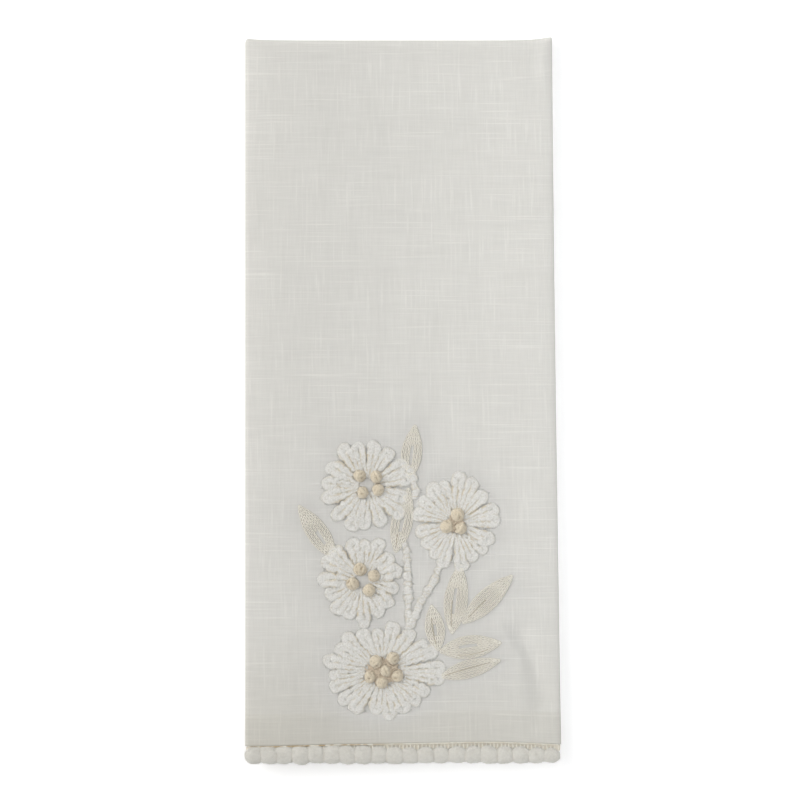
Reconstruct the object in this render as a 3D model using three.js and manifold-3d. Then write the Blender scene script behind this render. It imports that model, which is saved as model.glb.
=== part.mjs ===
// A folded towel of slub cotton, with a pompom trim along its hem and a spray of daisies in
// chenille yarn on its front panel. It is folded in thirds along its length and then in half.
// Millimetres, +Z up: it lies face up on z = 0, with its top fold towards +Y.

import * as THREE from "three";
import { mergeVertices } from "three/addons/utils/BufferGeometryUtils.js";
import Module from "manifold-3d";

const wasm = await Module();
wasm.setup();

// Folded size
const FOLDED_LENGTH = 355.6; // top fold to the lowest pompom
const LEFT_EDGE = -77.7;
const RIGHT_EDGE_TOP = 73.3; // the right fold slants out towards the hem
const RIGHT_EDGE_LOW = 77.7;
const FLARE_POWER = 1.3;
const CLEARANCE = 0.3; // between any two pieces
const WELD = 1e-4; // points nearer than this are one point
const UNEVEN_STEP = 2.4; // radians from one copy of a piece to the next
const UNEVEN_SHIFT = 1.7; // radians from one kind of piece to the next

// Cloth
const SHEET = 1.0;
const LAYER_PITCH = 1.5;
const LAYERS_ACROSS = 3;
const FREE_EDGE_INSET = 4; // each inner third stops short of the fold that it lies in
const HEM_DEPTH = 15.5;
const HEM_RISE = 0.6;
const HEM_LEDGE = 1.5;
const BACK_HEM_INSET = 6; // the back half stops short of the front hem
const EDGE_DROP = 0.5; // the folded sides are pressed thinner than the middle
const EDGE_SOFTNESS = 3;
const LAYER_STEPS = 6;
const FOLD_STEPS = 5;
const FRONT_STEPS = 8;
const BEND_STEPS = 8;
const BACK_STEPS = 4;

// Pompom trim
const POMPOM_WIDTH = 7.0;
const POMPOM_LENGTH = 8.2;
const POMPOM_PITCH = 7.7;
const POMPOM_ROOT = 1.0; // how far a pompom sits into its braid
const POMPOM_UNEVEN = 0.5; // the tips don't line up
const POMPOM_SIDES = 6;
const POMPOM_RINGS = 4;
const BRAID_DROP = 2.6;
// One row of pompoms on each layer of the hem, the front one first
const POMPOM_ROWS = [
  { middle: 8.6, height: 5.0, count: 20, firstX: -73.6, tipInset: 1.0 },
  { middle: 4.45, height: 2.4, count: 19, firstX: -69.8, tipInset: 0.4 },
  { middle: 1.4, height: 2.8, count: 19, firstX: -71.6, tipInset: 0 },
];

// Daisies, each an oval ring of petals round an open eye, given as a share of the oval
const PETAL_HEIGHT = 2.8;
const PETAL_FILL = 1.8; // width of a petal before it is narrowed, as a share of its room
const PETAL_NECK = 0.42; // width at the eye, as a share of the widest
const PETAL_UNEVEN = 0.05;
const PETAL_SIDES = 8;
const PETAL_DOME = [[0, 0], [1, 0], [0.82, 0.72], [0, 1]]; // radius and height, both to 1
const PETAL_BLOCK = [[0, -1], [1, -1], [1, 2], [0, 2]]; // room that others keep clear of
const DAISIES = [
  { name: "top", x: -17.9, y: -40.7, halfWide: 22.2, halfTall: 23.2, eye: 0.24, petals: 16, turn: 0.1 },
  { name: "right", x: 25.3, y: -59.2, halfWide: 21.5, halfTall: 24.0, eye: 0.2, petals: 18, turn: 0.0 },
  { name: "left", x: -20.0, y: -87.0, halfWide: 20.6, halfTall: 22.2, eye: 0.24, petals: 16, turn: 0.2 },
  { name: "low", x: -9.9, y: -132.0, halfWide: 29.3, halfTall: 23.4, eye: 0.32, petals: 22, turn: 0.1 },
];

// Knots in the eye of each daisy
const KNOT_HEIGHT = 3.8;
const KNOT_SIDES = 8;
const KNOT_PROFILE = [[0, 0], [0.42, 0], [0.5, 0.4], [0.38, 0.85], [0.14, 1], [0, 0.9]];
const KNOTS = [
  { daisy: "top", x: -21.4, y: -35.9, width: 5.9 },
  { daisy: "top", x: -13.3, y: -36.5, width: 5.9 },
  { daisy: "top", x: -19.8, y: -44.2, width: 5.9 },
  { daisy: "top", x: -12.2, y: -42.8, width: 5.8 },
  { daisy: "right", x: 26.7, y: -54.9, width: 6.3 },
  { daisy: "right", x: 21.4, y: -60.8, width: 6.2 },
  { daisy: "right", x: 28.2, y: -61.6, width: 6.2 },
  { daisy: "left", x: -21.1, y: -81.7, width: 6.2 },
  { daisy: "left", x: -14.4, y: -84.9, width: 6.2 },
  { daisy: "left", x: -24.7, y: -88.8, width: 6.2 },
  { daisy: "left", x: -16.6, y: -91.8, width: 6.2 },
  { daisy: "low", x: -13.3, y: -126.9, width: 6.0 },
  { daisy: "low", x: -5.1, y: -125.2, width: 6.0 },
  { daisy: "low", x: -8.6, y: -131.4, width: 5.6 },
  { daisy: "low", x: -16.3, y: -134.5, width: 6.0 },
  { daisy: "low", x: -10.4, y: -137.2, width: 5.7 },
  { daisy: "low", x: -2.7, y: -134.0, width: 5.8 },
];

// Leaves, from base to tip
const LEAF_HEIGHT = 0.9;
const LEAF_BELLY = 0.45; // place of the widest part, from the base
const LEAF_STEPS = 6;
const LEAVES = [
  { baseX: 2.5, baseY: -38.0, tipX: 5.9, tipY: -11.4, width: 10.3 },
  { baseX: -4.4, baseY: -73.3, tipX: 2.6, tipY: -47.5, width: 10.8 },
  { baseX: -33.3, baseY: -76.3, tipX: -51.0, tipY: -50.8, width: 10.8 },
  { baseX: 23.0, baseY: -110.6, tipX: 27.9, tipY: -80.2, width: 11.8 },
  { baseX: 27.9, baseY: -108.6, tipX: 53.4, tipY: -85.1, width: 10.8 },
  { baseX: 17.2, baseY: -121.4, tipX: 13.7, tipY: -100.3, width: 9.8 },
  { baseX: 16.7, baseY: -121.9, tipX: 47.5, tipY: -117.5, width: 11.3 },
  { baseX: 18.1, baseY: -135.1, tipX: 47.5, tipY: -127.3, width: 9.8 },
];

// Stems, as routes of a yarn on the cloth
const STEM_WIDTH = 3.8;
const STEM_SIDES = 3; // on each half
const STEM_STEPS = 12;
const LEFT_STEM = [[1.4, -70.4], [2.9, -84.0], [3.4, -97.9], [2.7, -110.6]];
const RIGHT_STEM = [[16.7, -83.4], [10.8, -91.0], [6.9, -101.8], [3.9, -109.6]];
const SHORT_STEM = [[2.8, -31.0], [4.9, -36.6], [5.6, -45.5]];

// Heights and places worked out from the above
const TOP_Y = FOLDED_LENGTH / 2;
const TIP_Y = -FOLDED_LENGTH / 2;
const FACE_Z = (2 * LAYERS_ACROSS - 1) * LAYER_PITCH + SHEET;
const BEND_Z = FACE_Z / 2;
const BEND_Y = TOP_Y - BEND_Z;
const PANEL_RADIUS = BEND_Z - SHEET / 2; // front panel's mid-line round the top fold
const HEM_Y = TIP_Y + POMPOM_LENGTH - POMPOM_ROOT + BRAID_DROP + CLEARANCE;
const HALF_WIDTH = (RIGHT_EDGE_LOW - LEFT_EDGE) / 2;
const WORK_Z = FACE_Z + CLEARANCE; // underside of everything worked on the front panel

const COTTON = new THREE.MeshStandardMaterial({ color: 0xd5d4cf, roughness: 0.95, metalness: 0 });
const CHENILLE = new THREE.MeshStandardMaterial({ color: 0xe4e2dc, roughness: 1, metalness: 0 });
const TAN_YARN = new THREE.MeshStandardMaterial({ color: 0xdecdac, roughness: 0.9, metalness: 0 });
const FLAX_YARN = new THREE.MeshStandardMaterial({ color: 0xc7c3b8, roughness: 0.85, metalness: 0 });
const POMPOM_YARN = new THREE.MeshStandardMaterial({ color: 0xcfcdc8, roughness: 1, metalness: 0 });

// A small even spread between -1 and 1, the same on each run
function uneven(index, kind) {
  return Math.sin(index * UNEVEN_STEP + kind * UNEVEN_SHIFT);
}

// Closed solid of a geometry, ready to be joined or cut
function solidOf(geometry) {
  const bare = geometry.clone();
  bare.deleteAttribute("normal");
  bare.deleteAttribute("uv");
  const merged = mergeVertices(bare, WELD);
  const corners = merged.index.array;
  const triVerts = [];
  for (let corner = 0; corner < corners.length; corner += 3) {
    const [a, b, c] = corners.slice(corner, corner + 3);
    if (a !== b && b !== c && c !== a) triVerts.push(a, b, c);
  }
  return new wasm.Manifold(new wasm.Mesh({
    numProp: 3,
    vertProperties: new Float32Array(merged.attributes.position.array),
    triVerts: new Uint32Array(triVerts),
  }));
}

// Solids joined into one
function joined(solids) {
  return solids.reduce((whole, solid) => whole.add(solid));
}

// Named mesh of a solid
function piece(name, solid, material) {
  const { vertProperties, triVerts } = solid.getMesh();
  const geometry = new THREE.BufferGeometry();
  geometry.setAttribute("position", new THREE.BufferAttribute(vertProperties, 3));
  geometry.setIndex(new THREE.BufferAttribute(triVerts, 1));
  geometry.computeVertexNormals();
  const mesh = new THREE.Mesh(geometry, material);
  mesh.name = name;
  return mesh;
}

// Closed geometry through a row of like rings, with the first and last ring filled
function loft(rings, section) {
  const count = section.length;
  const last = (rings.length - 1) * count;
  const index = [];
  for (let ring = 0; ring < last; ring += count) {
    for (let side = 0; side < count; side++) {
      const a = ring + side;
      const b = ring + (side + 1) % count;
      index.push(a, b, b + count, a, b + count, a + count);
    }
  }
  for (const [a, b, c] of THREE.ShapeUtils.triangulateShape(section, [])) {
    index.push(a, c, b, last + a, last + b, last + c);
  }
  const geometry = new THREE.BufferGeometry().setFromPoints(rings.flat());
  geometry.setIndex(index);
  return geometry;
}

// Place of the right fold at a height on the towel
function rightEdge(y) {
  const share = THREE.MathUtils.clamp((TOP_Y - y) / (TOP_Y - HEM_Y), 0, 1);
  return RIGHT_EDGE_TOP + (RIGHT_EDGE_LOW - RIGHT_EDGE_TOP) * share ** FLARE_POWER;
}

// Place across the towel of a point of the section
function across(u, y) {
  return THREE.MathUtils.mapLinear(u, -HALF_WIDTH, HALF_WIDTH, LEFT_EDGE, rightEdge(y));
}

// How far the front face stands over its plain height
function lift(x, y) {
  const hemTop = HEM_Y + HEM_DEPTH;
  const hem = 1 - THREE.MathUtils.smoothstep(y, hemTop - HEM_LEDGE, hemTop);
  const left = Math.exp((LEFT_EDGE - x) / EDGE_SOFTNESS);
  const right = Math.exp((x - rightEdge(y)) / EDGE_SOFTNESS);
  return HEM_RISE * hem - EDGE_DROP * (left + right);
}

// Closed outline of the cloth folded in thirds, as points (u across, d below the front panel's
// mid-line): the left third lies lowest, the right third between it and the front panel.
function thirdsSection() {
  const reach = HALF_WIDTH - SHEET / 2;
  const wide = LAYER_PITCH; // the left fold goes round the right third
  const tight = LAYER_PITCH / 2;
  const path = new THREE.Path();
  path.moveTo(reach - FREE_EDGE_INSET, 2 * wide);
  path.lineTo(wide - reach, 2 * wide);
  path.absarc(wide - reach, wide, wide, Math.PI / 2, 1.5 * Math.PI);
  path.lineTo(reach - tight, 0);
  path.absarc(reach - tight, tight, tight, -Math.PI / 2, Math.PI / 2);
  path.lineTo(FREE_EDGE_INSET - reach, 2 * tight);

  const oneFace = [];
  const otherFace = [];
  path.curves.forEach((curve, number) => {
    const steps = curve.isLineCurve ? LAYER_STEPS : FOLD_STEPS;
    for (let step = number === 0 ? 0 : 1; step <= steps; step++) {
      const even = step / steps;
      // Points lie closer together near the folds, where a panel rounds off
      const share = curve.isLineCurve ? (1 - Math.cos(Math.PI * even)) / 2 : even;
      const point = curve.getPoint(share);
      const along = curve.getTangent(share);
      const out = new THREE.Vector2(along.y, -along.x).multiplyScalar(SHEET / 2);
      oneFace.push(point.clone().add(out));
      otherFace.unshift(point.clone().sub(out));
    }
  });
  return [...oneFace, ...otherFace];
}

// The cloth: the section of thirds, swept up the front, round the top fold and down the back
function towelCloth(section) {
  const stations = [];
  const hemTop = HEM_Y + HEM_DEPTH;
  for (const y of [HEM_Y, hemTop - HEM_LEDGE]) stations.push({ y, turn: 0 });
  for (let step = 0; step < FRONT_STEPS; step++) {
    stations.push({ y: THREE.MathUtils.lerp(hemTop, BEND_Y, step / FRONT_STEPS), turn: 0 });
  }
  for (let step = 0; step <= BEND_STEPS; step++) {
    stations.push({ y: BEND_Y, turn: Math.PI * step / BEND_STEPS });
  }
  for (let step = 1; step <= BACK_STEPS; step++) {
    const y = THREE.MathUtils.lerp(BEND_Y, HEM_Y + BACK_HEM_INSET, step / BACK_STEPS);
    stations.push({ y, turn: Math.PI });
  }
  const rings = stations.map(({ y: alongY, turn }) => section.map(({ x: u, y: d }) => {
    const radius = PANEL_RADIUS - d;
    const y = alongY + radius * Math.sin(turn);
    const x = across(u, y);
    const z = BEND_Z + radius * Math.cos(turn);
    return new THREE.Vector3(x, y, z * (1 + lift(x, y) / FACE_Z));
  }));
  return piece("towel_cloth", solidOf(loft(rings, section)), COTTON);
}

// Height in the trim of a point d below the front: the braid leaves the hem at the height of its
// layer and comes to the middle of that layer's row of pompoms.
function trimHeight(d, share) {
  const layer = THREE.MathUtils.clamp(d / LAYER_PITCH, 0, POMPOM_ROWS.length - 1);
  const upper = Math.floor(layer);
  const lower = Math.min(upper + 1, POMPOM_ROWS.length - 1);
  const shift = [upper, lower].map((row) => POMPOM_ROWS[row].middle - layerHeight(row));
  const flat = SHEET / 2 / LAYER_PITCH;
  const mix = THREE.MathUtils.clamp((layer - upper - flat) / (1 - 2 * flat), 0, 1);
  return layerHeight(0) - d + share * THREE.MathUtils.lerp(...shift, mix);
}

// Height of a layer's mid-line at the front hem
function layerHeight(layer) {
  return FACE_Z - SHEET / 2 - layer * LAYER_PITCH;
}

// Pompoms of one row, hanging from the braid's lower edge
function pompomRow(row, rowNumber) {
  const balls = [];
  for (let number = 0; number < row.count; number++) {
    const ball = new THREE.SphereGeometry(0.5, POMPOM_SIDES, POMPOM_RINGS);
    const tip = TIP_Y + row.tipInset * (1 + POMPOM_UNEVEN * uneven(number, rowNumber));
    ball.scale(POMPOM_WIDTH, POMPOM_LENGTH, row.height / Math.cos(Math.PI / POMPOM_SIDES));
    ball.translate(row.firstX + number * POMPOM_PITCH, tip + POMPOM_LENGTH / 2, row.middle);
    balls.push(solidOf(ball));
  }
  return balls;
}

// The trim: a narrow braid round the folds of the hem, with its pompoms
function pompomTrim(section) {
  const top = HEM_Y - CLEARANCE;
  const rings = [1, 0].map((share) => section.map(({ x: u, y: d }) => {
    const y = top - share * BRAID_DROP;
    return new THREE.Vector3(across(u, y), y, trimHeight(d, share));
  }));
  const braid = solidOf(loft(rings, section));
  return piece("pompom_trim", joined([braid, ...POMPOM_ROWS.flatMap(pompomRow)]), POMPOM_YARN);
}

// Solid of a geometry that lies on the front panel, moved up or down with the face under it
function laid(geometry) {
  const { position } = geometry.attributes;
  for (let point = 0; point < position.count; point++) {
    const rise = lift(position.getX(point), position.getY(point));
    position.setZ(point, position.getZ(point) + rise);
  }
  return solidOf(geometry);
}

// Closed turned form of a profile, standing on z = 0
function turned(profile, sides) {
  const points = profile.map(([radius, height]) => new THREE.Vector2(radius, height));
  return new THREE.LatheGeometry(points, sides).rotateX(Math.PI / 2);
}

// Petals of a daisy, made to a profile of unit radius and height, and larger all round by grow
function daisyPetals(daisy, profile, grow) {
  const { x, y, halfWide, halfTall, eye, petals, turn } = daisy;
  const solids = [];
  for (let number = 0; number < petals; number++) {
    const angle = turn + 2 * Math.PI * number / petals;
    const reach = 1 / Math.hypot(Math.cos(angle) / halfWide, Math.sin(angle) / halfTall);
    const outer = reach * (1 - PETAL_UNEVEN * (1 + uneven(number, halfWide)) / 2);
    const inner = reach * eye;
    const width = PETAL_FILL * Math.PI * (outer + inner) / petals;
    const petal = turned(profile, PETAL_SIDES);
    const { position } = petal.attributes;
    for (let point = 0; point < position.count; point++) {
      const narrow = THREE.MathUtils.mapLinear(position.getX(point), -1, 1, PETAL_NECK, 1);
      position.setY(point, position.getY(point) * narrow);
    }
    petal.scale((outer - inner) / 2 + grow, width / 2 + grow, PETAL_HEIGHT);
    petal.translate((outer + inner) / 2, 0, WORK_Z);
    petal.rotateZ(angle).translate(x, y, 0);
    solids.push(laid(petal));
  }
  return joined(solids);
}

// Knot of wound yarn, larger all round by grow
function knotSolid({ x, y, width }, grow) {
  const knot = turned(KNOT_PROFILE, KNOT_SIDES);
  knot.scale(width + 2 * grow, width + 2 * grow, KNOT_HEIGHT);
  return laid(knot.translate(x, y, WORK_Z));
}

// Leaf of two curved sides, larger all round by grow
function leafSolid({ baseX, baseY, tipX, tipY, width }, grow) {
  const length = Math.hypot(tipX - baseX, tipY - baseY);
  const side = width + 2 * grow;
  const shape = new THREE.Shape();
  shape.moveTo(-grow, 0);
  shape.quadraticCurveTo(length * LEAF_BELLY, side, length + grow, 0);
  shape.quadraticCurveTo(length * LEAF_BELLY, -side, -grow, 0);
  const leaf = new THREE.ExtrudeGeometry(shape, {
    depth: LEAF_HEIGHT,
    curveSegments: LEAF_STEPS,
    bevelEnabled: false,
  });
  leaf.rotateZ(Math.atan2(tipY - baseY, tipX - baseX));
  return laid(leaf.translate(baseX, baseY, WORK_Z));
}

// Stem yarn along a route on the cloth, larger all round by grow
function stemSolid(route, grow) {
  const points = route.map(([x, y]) => new THREE.Vector3(x, y, WORK_Z + STEM_WIDTH / 2));
  const radius = STEM_WIDTH / 2 + grow;
  const section = new THREE.Shape();
  section.absarc(0, 0, radius, 0, 2 * Math.PI);
  return laid(new THREE.ExtrudeGeometry(section, {
    steps: STEM_STEPS,
    curveSegments: STEM_SIDES,
    extrudePath: new THREE.CatmullRomCurve3(points),
  }));
}

// Everything worked on the front panel, each piece cut clear of those before it
function embroidery() {
  const pieces = [];
  let taken = joined(DAISIES.map((daisy) => daisyPetals(daisy, PETAL_BLOCK, CLEARANCE)));
  for (const daisy of DAISIES) {
    const knots = KNOTS.filter((knot) => knot.daisy === daisy.name);
    const room = joined(knots.map((knot) => knotSolid(knot, CLEARANCE)));
    const petals = daisyPetals(daisy, PETAL_DOME, 0).subtract(room);
    pieces.push(piece(`daisy_${daisy.name}`, petals, CHENILLE));
    knots.forEach((knot, number) => {
      pieces.push(piece(`knot_${daisy.name}_${number + 1}`, knotSolid(knot, 0), TAN_YARN));
    });
  }
  const stems = { stem_fork: [LEFT_STEM, RIGHT_STEM], stem_short: [SHORT_STEM] };
  for (const [name, routes] of Object.entries(stems)) {
    const stem = joined(routes.map((route) => stemSolid(route, 0))).subtract(taken);
    pieces.push(piece(name, stem, CHENILLE));
  }
  taken = taken.add(joined(Object.values(stems).flat().map((route) => stemSolid(route, CLEARANCE))));
  LEAVES.forEach((leaf, number) => {
    const blade = leafSolid(leaf, 0).subtract(taken);
    pieces.push(piece(`leaf_${number + 1}`, blade, FLAX_YARN));
    taken = taken.add(leafSolid(leaf, CLEARANCE));
  });
  return pieces;
}

const section = thirdsSection();
const towel = new THREE.Group();
towel.name = "towel";
towel.add(towelCloth(section), pompomTrim(section), ...embroidery());

export default towel;
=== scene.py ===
import math
from types import SimpleNamespace

import bmesh
import bpy
import numpy as np
from bpy.props import FloatProperty, FloatVectorProperty, PointerProperty
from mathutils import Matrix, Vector


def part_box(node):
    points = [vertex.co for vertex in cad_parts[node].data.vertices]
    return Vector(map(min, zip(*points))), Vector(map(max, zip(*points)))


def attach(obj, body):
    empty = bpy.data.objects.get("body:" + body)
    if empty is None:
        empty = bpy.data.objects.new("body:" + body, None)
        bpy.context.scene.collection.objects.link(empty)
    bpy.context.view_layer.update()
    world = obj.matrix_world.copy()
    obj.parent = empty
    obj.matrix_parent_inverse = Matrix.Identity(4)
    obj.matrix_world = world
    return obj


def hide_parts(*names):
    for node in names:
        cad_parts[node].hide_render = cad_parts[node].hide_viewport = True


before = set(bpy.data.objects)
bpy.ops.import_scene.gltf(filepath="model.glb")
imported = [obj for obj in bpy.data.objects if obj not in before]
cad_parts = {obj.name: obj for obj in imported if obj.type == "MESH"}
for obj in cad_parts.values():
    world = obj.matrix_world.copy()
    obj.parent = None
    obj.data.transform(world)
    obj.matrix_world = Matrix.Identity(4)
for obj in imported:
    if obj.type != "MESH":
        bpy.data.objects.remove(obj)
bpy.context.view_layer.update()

bl_info = {
    "name": "Folded towel with pompom trim",
    "version": (1, 0, 0),
    "blender": (4, 5, 0),
    "location": "3D View > Sidebar > Towel",
    "description": "Makes a folded slub cotton towel with chenille daisies and a pompom hem",
    "category": "Object",
}

MM = 0.001
BODY = "root"
# Seeds of the random draws for each kind of piece
SEEDS = {"daisy": 7, "stem": 27, "knot": 47, "eye": 67, "leaf": 87, "heading": 127, "pompom": 147}


def node_box(node):
    """Lowest and highest corner of a solid, in millimetres."""
    low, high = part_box(node)
    return np.array(low) / MM, np.array(high) / MM


def oval(node):
    """Middle and half-size of a solid, seen from above, in millimetres."""
    low, high = node_box(node)
    return (low + high)[:2] / 2, (high - low)[:2] / 2


# Heights and edges of the folded cloth, in millimetres, from the solids
CLOTH_LOW, CLOTH_HIGH = node_box("towel_cloth")
CLEARANCE = 0.3
WORK_Z = node_box("knot_left_1")[0][2]
FACE_Z = WORK_Z - CLEARANCE
TOP_Y = CLOTH_HIGH[1]
HEM_Y = CLOTH_LOW[1]
LEFT_EDGE = -77.7
RIGHT_EDGE_TOP = 73.3
RIGHT_EDGE_LOW = 77.7
FLARE_POWER = 1.3
LAYER_PITCH = 1.5
FREE_EDGE_INSET = 4.0
BACK_HEM_INSET = 6.0
SECTION_SHEET = 1.0  # thickness that the solids give each layer
HALF_WIDTH = (RIGHT_EDGE_LOW - LEFT_EDGE) / 2
BEND_Z = FACE_Z / 2
BEND_Y = TOP_Y - BEND_Z
PANEL_RADIUS = BEND_Z - SECTION_SHEET / 2

# Softness of the stack: how far the face falls at the sides, and over what distance
LEFT_DROP = 3.0
LEFT_SOFTNESS = 11.0
RIGHT_DROP = 1.0
RIGHT_SOFTNESS = 3.0
HEM_LEDGE = 1.6
SWELL = 0.16  # height of the slow waves of a pressed cloth
WAVE_SIZES = (31, 47)  # lengths of the waves across and along, over 2 pi
WAVE_PHASES = (0.6, 1.1)
RIPPLE_SIZES = (17, 29)  # lengths of the ripples that run aslant, over 2 pi
RIPPLE_SHARE = 0.5  # height of the ripples over that of the waves
# Painted shade on the front of the cloth: darker and warmer towards the hem, less so at the right, with a
# deeper step on the doubled hem
HEM_BLUR = 0.5  # half the height over which the tone changes at the hem's turned edge
HEM_SHADE = 0.3  # share of the painted shade that ends at the hem's turned edge
SHADE_REACH = 70.0  # height over which the rest fades out
SHADE_EASE = 0.5  # how much less of it there is at the right
# Painted shade on the cloth round the embroidery, where the raised stitches shade it
EMBROIDERY_SHADE_REACH = 7.0  # distance from the embroidery over which its painted shade on the cloth fades
EMBROIDERY_SHADE_SPOTS = (0.2, 0.8, 7)  # first and last spot along a leaf that the painted shade spreads from, and their number

# Grid of the cloth and the trim's braid
SECTION_STEPS = (90, 26, 8)  # across the front, across a hidden layer and round a fold
BRAID_STEPS = (60, 40, 8)
HEM_ZONE = 20.0  # height over which the stations at the hem lie closer
STATIONS = {"hem": 26, "front": 140, "bend": 17, "back": 30}
CURVE_STEPS = 40  # points of a smooth curve for each point that it goes through

# Bow of the front hem: place across the towel, and how far the hem is drawn up there
HEM_BOW = [(-77.7, -1.3), (-60.0, -0.7), (-35.0, 0.1), (10.0, 0.8), (42.0, 1.6), (62.0, 0.9), (77.7, 0.0)]
HEM_BOW_REACH = 60.0  # height over which the bow fades out
BOW_STEPS = 120
BOW_WINDOW = 13  # steps over which the bow is smoothed

# Pull of the top fold, in millimetres: all along, and at its left and right corners
TOP_PULL = 0.3
CORNER_PULLS = (1.3, 2.0)
CORNER_REACH = 7.0  # distance from a corner over which its pull fades
PULL_DEPTH = 40.0  # height over which the pulls fade out

# Creases of the front panel: from, to, half-width and rise, all in millimetres
CREASES = [
    {"start": (48.2, -110.2), "end": (58.7, -128.2), "half": 2.9, "rise": 1.1},
    {"start": (57.9, -113.9), "end": (70.5, -147.0), "half": 5.4, "rise": -1.5},
    {"start": (65.0, -138.0), "end": (66.5, -158.0), "half": 5.0, "rise": -0.8},
    {"start": (63.7, 176.0), "end": (64.5, 157.0), "half": 3.2, "rise": -0.35},
    {"start": (70.0, 176.0), "end": (69.0, 160.0), "half": 3.0, "rise": 0.30},
    {"start": (-70.0, 40.0), "end": (-30.0, 36.0), "half": 9.0, "rise": -0.10},
    {"start": (-60.0, -60.0), "end": (-68.0, -140.0), "half": 8.0, "rise": -0.14},
]

# Daisies: number of loops, turn of the first one, open eye as a share of the oval, and whether
# the eye has a stitched ground
DAISIES = {
    "top": {"petals": 15, "turn": 0.10, "eye": 0.16, "ground": False},
    "right": {"petals": 17, "turn": 0.00, "eye": 0.20, "ground": True},
    "left": {"petals": 15, "turn": 0.20, "eye": 0.16, "ground": False},
    "low": {"petals": 20, "turn": 0.10, "eye": 0.30, "ground": True},
}

STRAND_SIDES = 16
STRAND_FLATNESS = 0.32  # height of a strand over its width
STRAND_POWER = 2.5  # squareness of a strand's section: 2 is round
SUNK = 0.35  # height of a strand's middle over the cloth, over half its height
STRAND_FILL = 1.17  # width of the strands over their room: they press together
STRAND_GAP = 0.84  # half the distance between a petal's two strands, over a strand's radius
STRAND_RADII = (0.85, 2.1)  # least and greatest, in millimetres
STRAND_SWELL = 0.08  # power by which a strand narrows less than its room towards the eye
STRAND_END = 0.03  # least share of a strand's round end
# Lumps of a strand: height, number round the strand, and steps of smoothing
STRAND_LUMPS = [(0.4, STRAND_SIDES, 1), (1.0, STRAND_SIDES, 2), (0.6, 1, 1)]
LUMP_PRESS = 0.15  # how much lower the lumps are on top
CREASE_SIDES = (0.45, 0.85)  # where a crease's shade begins and is full, over a strand's radius
CREASE_WANDER = 0.15  # how far the lumps move the shade
CREASE_DASHES = (-0.6, 0.5)  # noise between which the pile gives way to the crease
SEAM_FADE = (0.6, 1.0)  # stretch of a petal over which the shade of its seams fades
STEM_CREASE = 0.4  # shade at a stem's sides
STEM_FLATNESS = 0.25  # height of a stem over its width
INNER_CREASE = 0.85  # shade between a petal's two strands, over that between two petals
TIP_FALL = 0.62  # how much lower a petal is at its tip
TIP_STRETCH = (0.7, 1.0)  # stretch of a petal over which it falls
TUCK = 0.5  # how far a petal reaches under a knot
PETAL_STRAY = 0.14  # most that a petal is turned, over the turn between two
LEAST_LEG, LEAST_ARC = 6, 7  # least points along a petal and round its end
PETAL_LENGTHS = (0.94, 1.09)
PETAL_WIDTHS = (0.88, 1.08)
PETAL_BEND = 1.2  # most that a petal's tip is bent aside, in millimetres
PETAL_RISE = 0.25  # most that a petal stands up at its middle, in millimetres
RISE_STARTS = (0.3, 0.6)  # stretches of a petal over which it rises and comes down
RISE_ENDS = (0.7, 0.9)

# Pile: spikes of fibre on chenille and pompoms
PILE_BAND = (0.25, 0.35)  # middle and half-height of the band of a strand with pile, over its radius
PILE_JITTER = 0.12
PILE_PRESS = 0.65  # how much shorter the pile is on top
PILE_SHADE = 0.3  # shade of the pile over that of the strand under it
FIBRE_LEAN = 0.35
FIBRE_ROOT = 0.3  # depth of a spike's foot over its half-width
FIBRE_LENGTHS = (0.5, 1.0)

# Stems and their ties
STEM_STRAY = 0.6  # most that a stem strays from its route, in millimetres
STRAY_SMOOTHING = 8  # steps
STEM_LUMPS = 0.26  # unevenness of a stem's width
TIE_STRAY = 2  # most steps that a tie is moved along the stem
TIE_PINCH = 0.26  # how far a tie pinches the stem
TIE_REACH = 0.7  # distance from a tie over which the stem is pinched, in millimetres
TIE_SLANT = 0.25
TIE_ARC = (-15, 195, 13)  # first and last angle of a tie in degrees, and its points
TIE_OUT = 1.03  # reach of a tie over the stem's radius
TIE_SIDES = 6

# Stitched ground of an eye
EYE_STITCHES = 26
EYE_PAD = 0.6  # height of the pad under the stitches, in millimetres
EYE_REACH = 0.9  # ground over the open eye
EYE_TURN = 0.1  # most that a stitch is turned, in radians
EYE_SPREAD = 0.6  # most that a stitch passes the middle by, over the open eye
EYE_HEIGHTS = (0.15, 0.9)  # least height of a stitch, and the range above it
EYE_STEPS = 12
EYE_SIDES = 6

# Knots: shares of a knot's half-width, where nothing else is said
KNOT_FULLNESS = 1.08  # wound yarn over the width of the knot's solid
KNOT_TURNS = 6
KNOT_SIZES = (0.94, 1.06)
KNOT_HEIGHT = 0.85  # over the height of the solid
CORE_INSET = 0.8  # how far the core lies inside, over the yarn's radius
CORE_SHADE = 0.7
TURN_TILTS = (18, 62)  # tilt of the first turn, and the range over the others, in degrees
TILT_STRAY = 8
TURN_SWING = 2.4  # from one turn to the next, in radians
SWING_STRAY = 0.4
TURN_ASIDE = 0.4  # most that a turn passes the middle by
TURN_SIZES = (0.86, 1.0)
TURN_SHADE = (1.2, 0.96)  # depth of full shade over the yarn's radius, and radius of none
PLY_DEPTH = 0.12
PLY_TWISTS = 14
PLY_START = 6  # greatest angle at which the ply begins, in radians
RING_START = (0.3, 0.9, 0.2)
RING_STEPS = 36
BALL_STEPS = 3  # fineness of a knot's core and of an eye's pad
RING_SIDES = 8
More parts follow.
